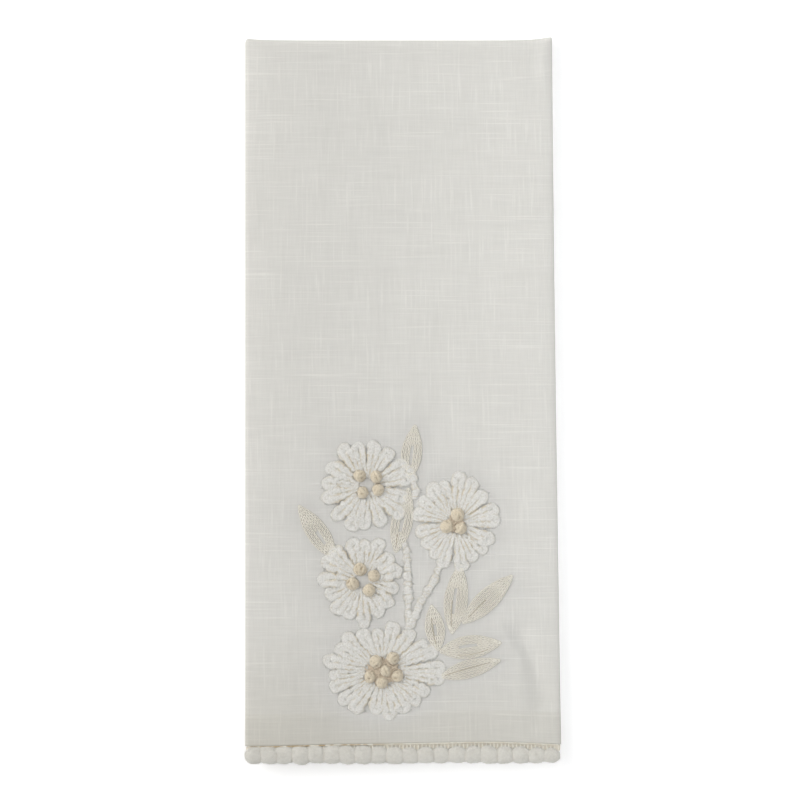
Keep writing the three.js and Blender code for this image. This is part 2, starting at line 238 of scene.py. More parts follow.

# Leaves, from base to tip, in millimetres. Shares across a leaf are of its half-width, to the left of the
# way to the tip. Open is where a row is left out: from and to across the leaf, and its stretch. A shade
# line is a low thread painted wholly in the shade colour, for the dark shade in the gap between two rows:
# its place across, and its stretch.
LEAVES = {
    "leaf_1": {
        "base": (2.5, -38.0), "tip": (5.9, -11.4), "width": 10.3,
        "open": (-0.1, 0.1, 0.0, 0.58), "shade_line": None,
    },
    "leaf_2": {
        "base": (-3.6, -73.3), "tip": (2.8, -42.2), "width": 10.8,
        "open": (-0.1, 0.1, 0.3, 0.55), "shade_line": (0.2, 0.1, 0.3),
    },
    "leaf_3": {
        "base": (-33.3, -76.3), "tip": (-51.0, -50.8), "width": 10.8,
        "open": (-0.1, 0.1, 0.2, 0.5), "shade_line": None,
    },
    "leaf_4": {
        "base": (24.0, -113.0), "tip": (28.0, -79.6), "width": 11.8,
        "open": (0.0, 0.2, 0.27, 0.65), "shade_line": (0.3, 0.1, 0.5),
    },
    "leaf_5": {
        "base": (29.4, -108.0), "tip": (53.4, -85.0), "width": 10.8,
        "open": None, "shade_line": (0.08, 0.12, 0.5),
    },
    "leaf_6": {
        "base": (17.2, -121.4), "tip": (14.0, -99.6), "width": 9.8,
        "open": (-0.1, 0.1, 0.25, 0.55), "shade_line": (0.24, 0.15, 0.75),
    },
    "leaf_7": {
        "base": (18.2, -121.9), "tip": (47.7, -117.8), "width": 11.6,
        "open": (0.0, 0.2, 0.3, 0.6), "shade_line": (-0.62, 0.3, 0.8),
    },
    "leaf_8": {
        "base": (18.6, -134.4), "tip": (47.3, -126.4), "width": 9.2,
        "open": None, "shade_line": (0.1, 0.08, 0.85),
    },
}
SHADE_LINE_WIDTH = 0.45  # painted shade line over the width of the leaves' thread
SHADE_LINE_HEIGHT = 1.8  # over the thread's radius
SHADE_LINE_STEP = 0.6
OUTER_ROW = (0.0, 1.0)  # stretch of a leaf's outer rows of stitches
INNER_ROWS = [(0.05, 0.95), (0.14, 0.87)]  # stretches of the others in turn
LEAF_BELLY = 0.45  # place of the greatest width
LEAF_STEPS = 40
LEAF_SIDES = 6

# Chain stitches
LINK_PITCH = 0.86  # from one stitch to the next, over a stitch's length
LINK_STEPS = 9
LINK_REACH = (0.5, 0.62)  # middle and half-length of the loop, over the pitch
LINK_WIDTH = 0.45  # half-width of a loop over the row's pitch
LINK_PRESS = 0.55  # how far the thread lies inside it, over its radius
LINK_TAPER = 0.25
LINK_SIZES = (0.8, 1.1)
LINK_HEIGHTS = (0.35, 0.7)  # height at the near end, and rise to the far one, over the radius
LINK_SHADE = (-0.3, 0.8)  # heights of full shade and of none, over the radius

# Stem yarns as routes on the cloth, in millimetres
STEMS = {
    "stem_fork": [
        [(0.6, -68.5), (1.9, -77.0), (2.2, -90.0), (2.6, -103.0), (3.2, -111.6)],
        [(18.9, -78.5), (15.2, -87.4), (8.9, -97.2), (5.8, -104.4), (3.8, -110.8)],
    ],
    "stem_short": [[(1.9, -31.0), (4.6, -36.2), (5.0, -42.0), (6.0, -47.8)]],
}

# Pompom rows on the three layers of the hem, the front one first, in millimetres. The tips stay
# inside the solids' box by tip_inset, and the tops stop short of the hem by tuck, and by show
# more where the heading shows.
POMPOM_ROWS = [
    {
        "middle": 8.2, "height": 4.6, "count": 20, "first_x": -73.6,
        "tip_inset": 0.5, "tuck": 0.2, "show": 1.5, "fine": True,
    },
    {
        "middle": 4.45, "height": 2.6, "count": 19, "first_x": -69.8,
        "tip_inset": 1.4, "tuck": 1.6, "show": 0.0, "fine": False,
    },
    {
        "middle": 1.4, "height": 2.8, "count": 19, "first_x": -71.6,
        "tip_inset": 1.6, "tuck": 1.6, "show": 0.0, "fine": False,
    },
]
POMPOM_PILE = 420  # locks of cut yarn that stand on one pompom
POMPOM_PILE_LOW = -0.2  # height on a pompom, over its radius, where its locks begin
POMPOM_STEPS = (4, 5)  # fineness of a plain pompom and of a fine one
POMPOM_STRAY = 0.4
TIP_STRAY = 0.7  # most that a tip's inset changes, over the inset
POMPOM_WIDTHS = (0.95, 1.07)
POMPOM_HEIGHTS = (0.9, 1.05)
POMPOM_LEAN = 0.15
HEADING_SHOWS = (-30, 5)  # places across the towel where the heading begins to show, and shows
BRAID_DROP = 2.6
BRAID_ROWS = 6
BRAID_WIDTH = 0.995  # over the width of the cloth
TRIM_RISE = 0.8  # how much higher the trim hangs at the right
TUFT_WAVES = 16
TUFT_SIZES = (3, 15)  # waves over a pompom's half-width, in radians
TUFT_SHADE = 0.2
SIDE_SHADE = (0.42, 0.54)  # where the shade between two pompoms begins and is full, over the pitch
SHADE_TOP = (-0.1, 0.7)  # heights on a pompom over which that shade fades
BARREL_POWER = 2.35  # squareness of a crowded pompom: 2 is round
TOP_TAPER = 0.3  # how much narrower a pompom is at its top, where the heading shows
END_SWELL = 0.3  # how far the last pompom of a row swells into the open

# Heading of the trim, in millimetres where nothing else is said
HEADING_INSET = 1.5  # from the sides of the towel
CORD_STEP = 0.6
CORD_SIDES = 8
CORD_TUCK = 0.35  # how far the cord lies below the hem's edge, over its width
CORD_RISE = 0.1
CORD_WAVE = 0.06
CORD_WAVES = 2.1  # radians for each millimetre
CORD_DASHES = (-0.5, 0.3)  # noise between which the cord turns tan
DASH_FADE = (-40, 10)  # places across the towel over which the dashes fade
DASH_LOSS = 0.8
RUNG_START = 0.5
RUNG_STRAY = 0.1
RUNG_TUCK = 0.7  # how far a rung's top lies below the hem's edge, over its width
RUNG_LENGTHS = (0.9, 1.1)
RUNG_STEP = 0.4
RUNG_SHAPE = [(0.0, 0.0), (0.3, 0.05), (0.7, 0.0), (1.0, -0.3)]  # share of its length, and rise

# Streaks of the weave: size across and along the cloth in millimetres, and detail. They are fine
# threads both ways, slubs both ways, and broad bands both ways.
STREAKS = [
    (0.9, 18.0, 2.0),
    (18.0, 0.9, 2.0),
    (1.2, 26.0, 1.0),
    (44.0, 1.1, 1.0),
    (9.0, 70.0, 1.0),
    (70.0, 9.0, 1.0),
]
FINE_TONE = 0.045  # how far the threads change the tone
BROAD_TONE = 0.02
SLUB_TONE = 0.085
SLUB_RANGE = (0.56, 0.74)  # noise between which a slub comes up
SLUB_ALONG = 0.75  # slubs along the towel over those across it
SLUB_RISE = 0.6  # height of a slub over that of the threads
WEAVE_DEPTH = 0.25  # millimetres

# Camera and light
FLOOR_REACH = 3000.0
FLOOR_Z = -0.3
FLOOR_CORNERS = [(-1, -1), (1, -1), (1, 1), (-1, 1)]
PHOTO_WIDTH = 392.0  # millimetres of the front face across the picture
VIEW_CENTRE = (-1.5, 1.2)
LENS = 100.0
SENSOR = 36.0
ROOM_LIGHT = 0.67
PAPER_GLOW = 0.23
# Soft lights: place, aim, width and length in metres, spread in degrees, power in watts, and colour
LIGHTS = [
    {
        "name": "window_left", "place": (-1.2, 0.5, 0.9), "aim": (0.0, 0.0, 0.0),
        "width": 1.0, "length": 1.0, "spread": 180, "power": 12.2, "tint": "#FFFCF9",
    },
    {
        "name": "panel_above", "place": (0.18, 0.06, 1.25), "aim": (0.15, 0.06, 0.0),
        "width": 0.2, "length": 0.6, "spread": 24, "power": 0.15, "tint": "#F9FBFF",
    },
]


# Shapes from arrays


def mark(mesh, name, values):
    """Gives each point of a mesh a value that its material reads."""
    attribute = mesh.attributes.new(name, "FLOAT", "POINT")
    attribute.data.foreach_set("value", np.asarray(values, np.float32))


class Build:
    """Gathers points and faces of many small forms for one mesh, in millimetres."""

    def __init__(self):
        self.points = []
        self.faces = []
        self.hollows = []
        self.count = 0

    def add(self, points, faces, hollow=0.0):
        """Adds a form: points as an array of rows, faces as arrays of point numbers, and a share from 0 to
        1 for each point that its material paints in a darker shade: painted shade for how deep in a hollow
        it lies, and on the cloth towards its hem; on the heading's cord it marks the cord's own tan
        stretches instead."""
        for group in faces:
            self.faces.extend((np.asarray(group) + self.count).tolist())
        self.points.append(np.asarray(points, float))
        self.hollows.append(np.broadcast_to(hollow, len(points)))
        self.count += len(points)

    def to_object(self, name, material, uv=None):
        """Makes the object, smooth and with its faces pointing out."""
        points = np.vstack(self.points) * MM
        mesh = bpy.data.meshes.new(name)
        mesh.from_pydata(points.tolist(), [], self.faces)
        form = bmesh.new()
        form.from_mesh(mesh)
        bmesh.ops.recalc_face_normals(form, faces=form.faces)
        form.to_mesh(mesh)
        form.free()
        if uv is not None:
            layer = mesh.uv_layers.new(name="cloth")
            corners = np.empty(len(mesh.loops), np.int32)
            mesh.loops.foreach_get("vertex_index", corners)
            layer.data.foreach_set("uv", np.ascontiguousarray(uv[corners], np.float32).ravel())
        mark(mesh, "hollow", np.concatenate(self.hollows))
        mesh.polygons.foreach_set("use_smooth", [True] * len(mesh.polygons))
        mesh.materials.append(material)
        piece = bpy.data.objects.new(name, mesh)
        bpy.context.scene.collection.objects.link(piece)
        return piece


def unit(rows):
    """Rows of an array, each at length 1."""
    return rows / np.linalg.norm(rows, axis=-1, keepdims=True)


def turns(count):
    """Even angles round a circle."""
    return np.arange(count) * 2 * math.pi / count


def run_of(path):
    """Length of a path up to each of its points."""
    return np.concatenate([[0], np.cumsum(np.linalg.norm(np.diff(path, axis=0), axis=1))])


def soft_step(value, low, high):
    """Smooth rise from 0 at low to 1 at high."""
    t = np.clip((value - low) / (high - low), 0, 1)
    return t * t * (3 - 2 * t)


def grid_faces(rows, columns, wrap=False):
    """Quads of a grid of points, joined round its columns where it wraps."""
    column = np.arange(columns if wrap else columns - 1)
    row = np.arange(rows - 1)[:, None] * columns
    here = row + column
    beside = row + (column + 1) % columns
    return np.stack([here, beside, beside + columns, here + columns], -1).reshape(-1, 4)


def ring_faces(rows, sides):
    """Quads of a tube whose ends meet."""
    return grid_faces(rows + 1, sides, wrap=True) % (rows * sides)


def two_faced(layers):
    """Sheet with two faces and cut edges, from two grids of points: points and faces."""
    rows, columns = layers[0].shape[:2]
    count = rows * columns
    faces = grid_faces(rows, columns)
    number = np.arange(count).reshape(rows, columns)
    rim = np.concatenate([number[0], number[1:, -1], number[-1, -2::-1], number[-2:0:-1, 0]])
    after = np.roll(rim, -1)
    edge = np.stack([rim, after, after + count, rim + count], 1)
    return np.vstack([layer.reshape(-1, 3) for layer in layers]), [faces, faces + count, edge]


def spread(random, shape, smoothing):
    """Random lumps from -1 to 1, smoothed over some steps each way."""
    field = random.uniform(-1, 1, shape)
    for axis in (0, 1):
        for _ in range(smoothing):
            field = (np.roll(field, 1, axis) + 2 * field + np.roll(field, -1, axis)) / 4
    return field / max(np.abs(field).max(), 1e-6)


def sides_round(along, sides, aside=None):
    """Outward directions of a tube's sides at each point of its path. The path lies near the
    level, or else is square to the way aside."""
    level = unit(np.cross([0, 0, 1], along)) if aside is None else np.broadcast_to(aside, along.shape)
    up = unit(np.cross(along, level))
    angle = turns(sides)[None, :, None]
    return np.cos(angle) * level[:, None] + np.sin(angle) * up[:, None]


def tube(path, radius, sides, flat=1.0, aside=None):
    """Closed tube along a path: points, faces and outward directions."""
    path = np.asarray(path, float)
    out = sides_round(unit(np.gradient(path, axis=0)), sides, aside)
    reach = np.asarray(radius, float)
    if reach.ndim == 1:
        reach = reach[:, None]
    ring = path[:, None] + np.broadcast_to(reach, (len(path), sides))[:, :, None] * out
    ring[:, :, 2] = path[:, None, 2] + (ring[:, :, 2] - path[:, None, 2]) * np.reshape(flat, (-1, 1))
    points = np.vstack([ring.reshape(-1, 3), path[0], path[-1]])
    first = len(path) * sides
    last = first - sides
    number = np.arange(sides)
    after = (number + 1) % sides
    ends = [
        np.stack([after, number, np.full(sides, first)], 1),
        np.stack([last + number, last + after, np.full(sides, first + 1)], 1),
    ]
    return points, [grid_faces(len(path), sides, wrap=True), *ends], out.reshape(-1, 3)


def ring_tube(path, radius, sides):
    """Tube along a closed path that lies near the level: points and faces."""
    along = unit(np.roll(path, -1, 0) - np.roll(path, 1, 0))
    points = path[:, None] + radius * sides_round(along, sides)
    return points.reshape(-1, 3), [ring_faces(len(path), sides)]


def fibres(random, roots, out, length, width):
    """Short closed spikes of pile that stand on a surface: points and faces."""
    count = len(roots)
    lean = unit(out + random.normal(0, FIBRE_LEAN, (count, 3)))
    one = unit(np.cross(lean, random.normal(0, 1, (count, 3))))
    two = np.cross(lean, one)
    base = roots - FIBRE_ROOT * width * lean
    corners = [base + width * (math.cos(turn) * one + math.sin(turn) * two) for turn in turns(3)]
    tip = roots + lean * length * random.uniform(*FIBRE_LENGTHS, (count, 1))
    points = np.stack([*corners, tip], 1).reshape(-1, 3)
    start = 4 * np.arange(count)[:, None]
    faces = [start + np.array(face) for face in ((0, 1, 3), (1, 2, 3), (2, 0, 3), (2, 1, 0))]
    return points, faces


def even_steps(path, step):
    """Points at even steps along a smooth curve through the given points."""
    path = np.asarray(path, float)
    fine = np.linspace(0, len(path) - 1, CURVE_STEPS * len(path))
    slope = np.gradient(path, axis=0)
    cell = np.clip(np.floor(fine).astype(int), 0, len(path) - 2)
    t = (fine - cell)[:, None]
    smooth = (
        (2 * t**3 - 3 * t**2 + 1) * path[cell]
        + (t**3 - 2 * t**2 + t) * slope[cell]
        + (3 * t**2 - 2 * t**3) * path[cell + 1]
        + (t**3 - t**2) * slope[cell + 1]
    )
    run = run_of(smooth)
    places = np.linspace(0, run[-1], max(int(run[-1] / step), 3) + 1)
    return np.stack([np.interp(places, run, axis) for axis in smooth.T], 1)


def ball_shape(steps):
    """Points and faces of a ball of even triangles, of radius 1."""
    form = bmesh.new()
    bmesh.ops.create_icosphere(form, subdivisions=steps, radius=1)
    points = np.array([vert.co for vert in form.verts])
    faces = np.array([[vert.index for vert in face.verts] for face in form.faces])
    form.free()
    return points, faces


# The folded cloth


def right_edge(y):
    """Place of the right fold at a height on the towel."""
    share = np.clip((TOP_Y - y) / (TOP_Y - HEM_Y), 0, 1)
    return RIGHT_EDGE_TOP + (RIGHT_EDGE_LOW - RIGHT_EDGE_TOP) * share**FLARE_POWER


def across(u, y):
    """Place across the towel of a point of the section."""
    right = right_edge(y)
    return LEFT_EDGE + (u + HALF_WIDTH) / (2 * HALF_WIDTH) * (right - LEFT_EDGE)


def crease_rise(x, y):
    """Height of the creases of the front panel."""
    rise = np.zeros(np.broadcast(x, y).shape)
    for crease in CREASES:
        start = np.array(crease["start"])
        run = np.array(crease["end"]) - start
        place = ((x - start[0]) * run[0] + (y - start[1]) * run[1]) / np.hypot(*run) ** 2
        held = np.clip(place, 0, 1)
        gap = np.hypot(x - start[0] - held * run[0], y - start[1] - held * run[1])
        rise = rise + crease["rise"] * np.exp(-((gap / crease["half"]) ** 2))
    return rise


def hem_bow(x):
    """How far the front hem is drawn up at a place across the towel."""
    places, rises = np.array(HEM_BOW).T
    nodes = np.linspace(LEFT_EDGE, RIGHT_EDGE_LOW, BOW_STEPS + 1)
    rough = np.pad(np.interp(nodes, places, rises), BOW_WINDOW // 2, "edge")
    return np.interp(x, nodes, np.convolve(rough, np.full(BOW_WINDOW, 1 / BOW_WINDOW), "valid"))


def lift(x, y, sizes):
    """How far the front face stands over its plain height."""
    hem_top = HEM_Y + sizes.hem_depth
    hem = 1 - soft_step(y, hem_top - HEM_LEDGE, hem_top)
    left = LEFT_DROP * np.exp(-(x - LEFT_EDGE) / LEFT_SOFTNESS)
    right = RIGHT_DROP * np.exp(-(right_edge(y) - x) / RIGHT_SOFTNESS)
    waves = np.sin(x / WAVE_SIZES[0] + WAVE_PHASES[0]) * np.sin(y / WAVE_SIZES[1] + WAVE_PHASES[1])
    waves = waves + RIPPLE_SHARE * np.sin(x / RIPPLE_SIZES[0] - y / RIPPLE_SIZES[1])
    return sizes.hem_rise * hem + SWELL * waves + crease_rise(x, y) - left - right


def laid(flat, height, sizes):
    """Points at a height, moved up or down with the front face under them."""
    return np.column_stack([flat, height + lift(flat[:, 0], flat[:, 1], sizes)])


def thirds_section(front_steps, hidden_steps, fold_steps):
    """Mid-line of the cloth folded in thirds: points (across, depth), normals and run, in
    millimetres, from the free edge of the left third to that of the right third."""
    reach = HALF_WIDTH - SECTION_SHEET / 2
    wide = LAYER_PITCH
    tight = LAYER_PITCH / 2

    def straight(start, end, depth, steps):
        even = np.linspace(0, 1, steps + 1)
        close = (even + (1 - np.cos(math.pi * even)) / 2) / 2
        u = start + (end - start) * close
        normal = np.full_like(u, -np.sign(end - start))
        return np.stack([u, np.full_like(u, depth), 0 * u, normal], 1)

    def fold(centre, depth, radius, first, last):
        angle = np.radians(np.linspace(first, last, fold_steps + 1))
        out = np.stack([np.cos(angle), np.sin(angle)], 1)
        return np.hstack([[centre, depth] + radius * out, out])

    legs = [
        straight(reach - FREE_EDGE_INSET, wide - reach, 2 * wide, hidden_steps),
        fold(wide - reach, wide, wide, 90, 270),
        straight(wide - reach, reach - tight, 0.0, front_steps),
        fold(reach - tight, tight, tight, -90, 90),
        straight(reach - tight, FREE_EDGE_INSET - reach, 2 * tight, hidden_steps),
    ]
    rows = np.vstack([legs[0], *[leg[1:] for leg in legs[1:]]])
    return rows[:, :2], rows[:, 2:], run_of(rows[:, :2])


def cloth_stations():
    """Stations from the front hem over the top fold to the back hem: place, turn and run."""
    ledge = HEM_Y + HEM_ZONE
    hem = np.linspace(HEM_Y, ledge, STATIONS["hem"])
    front = np.concatenate([hem, np.linspace(ledge, BEND_Y, STATIONS["front"])[1:]])
    bend = np.radians(np.linspace(0, 180, STATIONS["bend"]))[1:]
    back = np.linspace(BEND_Y, HEM_Y + BACK_HEM_INSET, STATIONS["back"])[1:]
    place = np.concatenate([front, np.full(len(bend), BEND_Y), back])
    turn = np.concatenate([0 * front, bend, np.full(len(back), math.pi)])
    over = front[-1] - HEM_Y
    behind = over + PANEL_RADIUS * math.pi + BEND_Y - back
    run = np.concatenate([front - HEM_Y, over + PANEL_RADIUS * bend, behind])
    return place, turn, run


def embroidery_shade_share(x, y):
    """Share of painted shade on the cloth at a place, from 0 to 1, for the shade that the raised
    embroidery casts round it.
    """
    gap = np.full(len(x), np.inf)
    for name in DAISIES:
        middle, half = oval(f"daisy_{name}")
        share = np.hypot((x - middle[0]) / half[0], (y - middle[1]) / half[1])
        gap = np.minimum(gap, (share - 1) * half.mean())
    for leaf in LEAVES.values():
        for share in np.linspace(*EMBROIDERY_SHADE_SPOTS):
            middle = np.array(leaf["base"]) * (1 - share) + np.array(leaf["tip"]) * share
            gap = np.minimum(gap, np.hypot(x - middle[0], y - middle[1]) - leaf["width"] / 2)
    return np.exp(-(np.maximum(gap, 0) / EMBROIDERY_SHADE_REACH))


def make_cloth(sizes, material):
    """The towel: one sheet swept through its folds, with two faces and its cut edges. Gives the
    piece and the width and length of the flat cloth in metres."""
    points, normals, run_across = thirds_section(*SECTION_STEPS)
    place, turn, run_along = cloth_stations()
    layers = []
    for face in (0.5, -0.5):
        moved = points + face * sizes.sheet * normals
        radius = PANEL_RADIUS - moved[None, :, 1]
        y = place[:, None] + radius * np.sin(turn)[:, None]
        x = across(moved[None, :, 0], y)
        z = BEND_Z + radius * np.cos(turn)[:, None]
        z = z * (1 + lift(x, y, sizes) / FACE_Z)
        front = (1 - soft_step(y, HEM_Y, HEM_Y + HEM_BOW_REACH)) * (turn[:, None] == 0)
        left, right = x - LEFT_EDGE, right_edge(y) - x
        pull = TOP_PULL + CORNER_PULLS[0] * np.exp(-left / CORNER_REACH)
        pull = pull + CORNER_PULLS[1] * np.exp(-right / CORNER_REACH)
        y = y + front * hem_bow(x) + pull * soft_step(y, TOP_Y - PULL_DEPTH, TOP_Y)
        layers.append(np.stack([x, y, z], -1))
    # Painted shade towards the front hem: a step on the doubled hem, and a fade above it that is weaker at
    # the right
    edge = sizes.hem_depth
    doubled = 1 - soft_step(run_along, edge - HEM_BLUR, edge + HEM_BLUR)
    fade = (1 - HEM_SHADE) * (1 - soft_step(run_along, 0, SHADE_REACH))
    ease = 1 - SHADE_EASE * soft_step(points[:, 0], LEFT_EDGE / 2, RIGHT_EDGE_LOW)
    hollow = np.tile((HEM_SHADE * doubled[:, None] + fade[:, None] * ease).ravel(), 2)
    build = Build()
    build.add(*two_faced(layers), hollow)
    flat = np.stack(np.broadcast_arrays(run_across[None, :], run_along[:, None]), -1).reshape(-1, 2)
    cloth = build.to_object("towel_cloth_folded", material, np.vstack([flat, flat]) * MM)
    # Painted shade round the embroidery, on both faces
    embroidery_shade = [embroidery_shade_share(*layer.reshape(-1, 3).T[:2]) for layer in layers]
    mark(cloth.data, "embroidery_shade", np.concatenate(embroidery_shade))
    return cloth, run_across[-1] * MM, run_along[-1] * MM


# Chenille yarn


def chenille(build, random, path, radius, sizes, crease=1.0, flat=STRAND_FLATNESS):
    """Adds a chenille strand along a path: a wavy, knobbly core, pressed flat, with pile standing
    on it, and creases down its sides that the pile bridges here and there. The side that a loop
    turns to its inside has the fainter crease."""
    path = path.copy()
    path[:, :2] += sizes.wobble * spread(random, (len(path), 2), 2)
    lumps = 0.0
    for weight, around, smoothing in STRAND_LUMPS:
        lumps = lumps + weight * spread(random, (len(path), around), smoothing)
    run = run_of(path)
    end = np.clip(np.minimum(run, run[-1] - run) / radius, 0, 1)
    rounded = radius * np.sqrt(np.clip(1 - (1 - end) ** 2, STRAND_END, 1))
    angle = turns(STRAND_SIDES)
    level, upright = np.abs(np.cos(angle)), np.abs(np.sin(angle))
    pressed = (level**STRAND_POWER + upright**STRAND_POWER) ** (-1 / STRAND_POWER)
    reach = rounded[:, None] * pressed * (1 + sizes.lumps * lumps * (1 - LUMP_PRESS * upright))
    points, faces, out = tube(path, reach, STRAND_SIDES, flat)
    aside = np.cos(angle) * pressed + CREASE_WANDER * lumps
    inner, outer = soft_step(aside, *CREASE_SIDES), soft_step(-aside, *CREASE_SIDES)
    dashes = soft_step(spread(random, (len(path), 1), 2), *CREASE_DASHES)
    hollow = np.maximum(INNER_CREASE * inner, outer) * dashes * np.reshape(crease, (-1, 1))
    hollow = hollow.ravel()
    build.add(points, faces, np.concatenate([hollow, [1, 1]]))
    upper = np.flatnonzero(np.abs(out[:, 2] - PILE_BAND[0]) < PILE_BAND[1])
    chosen = random.choice(upper, int(len(upper) * sizes.pile_share))
    roots = points[chosen] + random.normal(0, PILE_JITTER, (len(chosen), 3))
    length = sizes.pile * np.repeat(radius, STRAND_SIDES)[chosen, None] / STRAND_RADII[1]
    length = length * (1 - PILE_PRESS * out[chosen, 2:])
    spikes = fibres(random, roots, out[chosen], length, sizes.pile_width)
    build.add(*spikes, np.repeat(PILE_SHADE * hollow[chosen], 4))


def petal_loop(length, inner, room, bend, step):
    """Loop of one petal along its own axis: out, round the end and back, with two strands that
    swell as the petal has more room. Gives the points, the strand's radius and the share of the
    way out at each point."""
    far = length - (1 + STRAND_GAP) * min(length * room, STRAND_RADII[1])
    way_out = np.linspace(inner, far, max(int((far - inner) / step), LEAST_LEG))
    radius = np.clip(way_out * room * (length / way_out) ** STRAND_SWELL, *STRAND_RADII)
    aside = STRAND_GAP * radius
    arc = np.radians(np.linspace(-90, 90, max(int(math.pi * aside[-1] / step), LEAST_ARC))[1:-1])
    end = np.stack([far + aside[-1] * np.cos(arc), aside[-1] * np.sin(arc)], 1)
    out_leg = np.stack([way_out, -aside], 1)
    loop = np.vstack([out_leg, end, (out_leg * [1, -1])[::-1]])
    radius = np.concatenate([radius, np.full(len(end), radius[-1]), radius[::-1]])
    share = loop[:, 0] / length
    loop[:, 1] += bend * share**2
    return loop, radius, share


def clear_of_knots(flat, knots):
    """Which points of a loop are kept: its run between the last knot on the way out and the
    first one on the way back."""
    clear = np.ones(len(flat), bool)
    for place, half in knots:
        clear &= np.hypot(*(flat - place).T) > half[0] - TUCK
    number = np.arange(len(flat))
    turn = len(flat) // 2
    start = np.flatnonzero(~clear[:turn]).max(initial=-1) + 1
    stop = turn + np.flatnonzero(~clear[turn:]).min(initial=len(flat))
    return (number >= start) & (number < stop)


def make_daisy(name, sizes, material):
    """One daisy: looped petals of chenille round an open eye, tucked under its knots."""
    style = DAISIES[name]
    centre, half = oval(f"daisy_{name}")
    random = np.random.default_rng(SEEDS["daisy"] + sorted(DAISIES).index(name))
    count = style["petals"]
    stray = random.uniform(-PETAL_STRAY, PETAL_STRAY, count)
    places = style["turn"] + 2 * math.pi / count * (np.arange(count) + stray)
    tips = half * np.stack([np.cos(places), np.sin(places)], 1)
    angles = np.unwrap(np.arctan2(tips[:, 1], tips[:, 0]))
    rooms = (np.roll(angles, -1) - np.roll(angles, 1)) % (2 * math.pi) / 2
    knots = [oval(node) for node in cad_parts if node.startswith(f"knot_{name}_")]
    build = Build()
    for tip, angle, room in zip(tips, angles, rooms):
        length = np.hypot(*tip) * random.uniform(*PETAL_LENGTHS)
        inner = np.hypot(*tip) * style["eye"]
        strand = room / 4 * STRAND_FILL * random.uniform(*PETAL_WIDTHS)
        bend = random.uniform(-PETAL_BEND, PETAL_BEND)
        loop, radius, share = petal_loop(length, inner, strand, bend, sizes.lump_step)
        way = np.array([math.cos(angle), math.sin(angle)])
        flat = centre + loop[:, :1] * way + loop[:, 1:] * [-way[1], way[0]]
        kept = clear_of_knots(flat, knots)
        flat, radius, share = flat[kept], radius[kept], share[kept]
        rise = random.uniform(0, PETAL_RISE) * soft_step(share, *RISE_STARTS)
        rise = rise * (1 - soft_step(share, *RISE_ENDS))
        flatness = STRAND_FLATNESS * (1 - TIP_FALL * soft_step(share, *TIP_STRETCH))
        path = laid(flat, FACE_Z + SUNK * flatness * radius + rise, sizes)
        chenille(build, random, path, radius, sizes, 1 - soft_step(share, *SEAM_FADE), flatness)
    return build.to_object(f"daisy_{name}_loops", material)


def make_stem(name, sizes, material, thread):
    """Stem of chenille laid on the cloth and held by cross stitches: the yarn and its ties."""
    random = np.random.default_rng(SEEDS["stem"] + sorted(STEMS).index(name))
    yarn = Build()
    ties = Build()
    step = sizes.lump_step
    for route in STEMS[name]:
        path = even_steps(route, step)
        path += STEM_STRAY * spread(random, (len(path), 2), STRAY_SMOOTHING)
        pitch = int(sizes.tie_pitch / step)
        places = np.arange(pitch // 2, len(path) - 2, pitch)
        places = places + random.integers(-TIE_STRAY, TIE_STRAY + 1, len(places))
        gap = np.abs(np.arange(len(path))[:, None] - places[None, :]).min(1) * step
        size = sizes.stem / 2 * (1.0 - TIE_PINCH * np.exp(-((gap / TIE_REACH) ** 2)))
        size = size * (1 + STEM_LUMPS * spread(random, (len(path), 1), 3)[:, 0])
        spine = laid(path, FACE_Z + SUNK * STEM_FLATNESS * size, sizes)
        chenille(yarn, random, spine, size, sizes, STEM_CREASE, STEM_FLATNESS)
        along = unit(np.gradient(spine, axis=0))
        for place in places:
            slant = unit(along[place] + random.normal(0, TIE_SLANT, 3) * [1, 1, 0])
            aside = np.cross([0, 0, 1], slant)
            arc = np.radians(np.linspace(*TIE_ARC))[:, None]
            bow = np.cos(arc) * aside + np.sin(arc) * [0, 0, STEM_FLATNESS]
            bow = spine[place] + size[place] * TIE_OUT * bow
            ties.add(*tube(bow, sizes.thread / 2, TIE_SIDES, aside=slant)[:2])
    return yarn.to_object(f"{name}_yarn", material), ties.to_object(f"{name}_ties", thread)


# Knots and leaves


def ring_round(axis, aside, radius, thick, random):
    """Points of a plied ring square to an axis, a little way along it."""
    one = unit(np.cross(axis, RING_START))
    two = np.cross(axis, one)
    turn = turns(RING_STEPS)[:, None, None]
    round_yarn = turns(RING_SIDES)[None, :, None]
    out = np.cos(turn) * one + np.sin(turn) * two
    ply = 1 + PLY_DEPTH * np.sin(PLY_TWISTS * turn + round_yarn + random.uniform(0, PLY_START))
    points = aside * axis + radius * out
    points = points + thick * ply * (np.cos(round_yarn) * out + np.sin(round_yarn) * axis)
    return points.reshape(-1, 3)


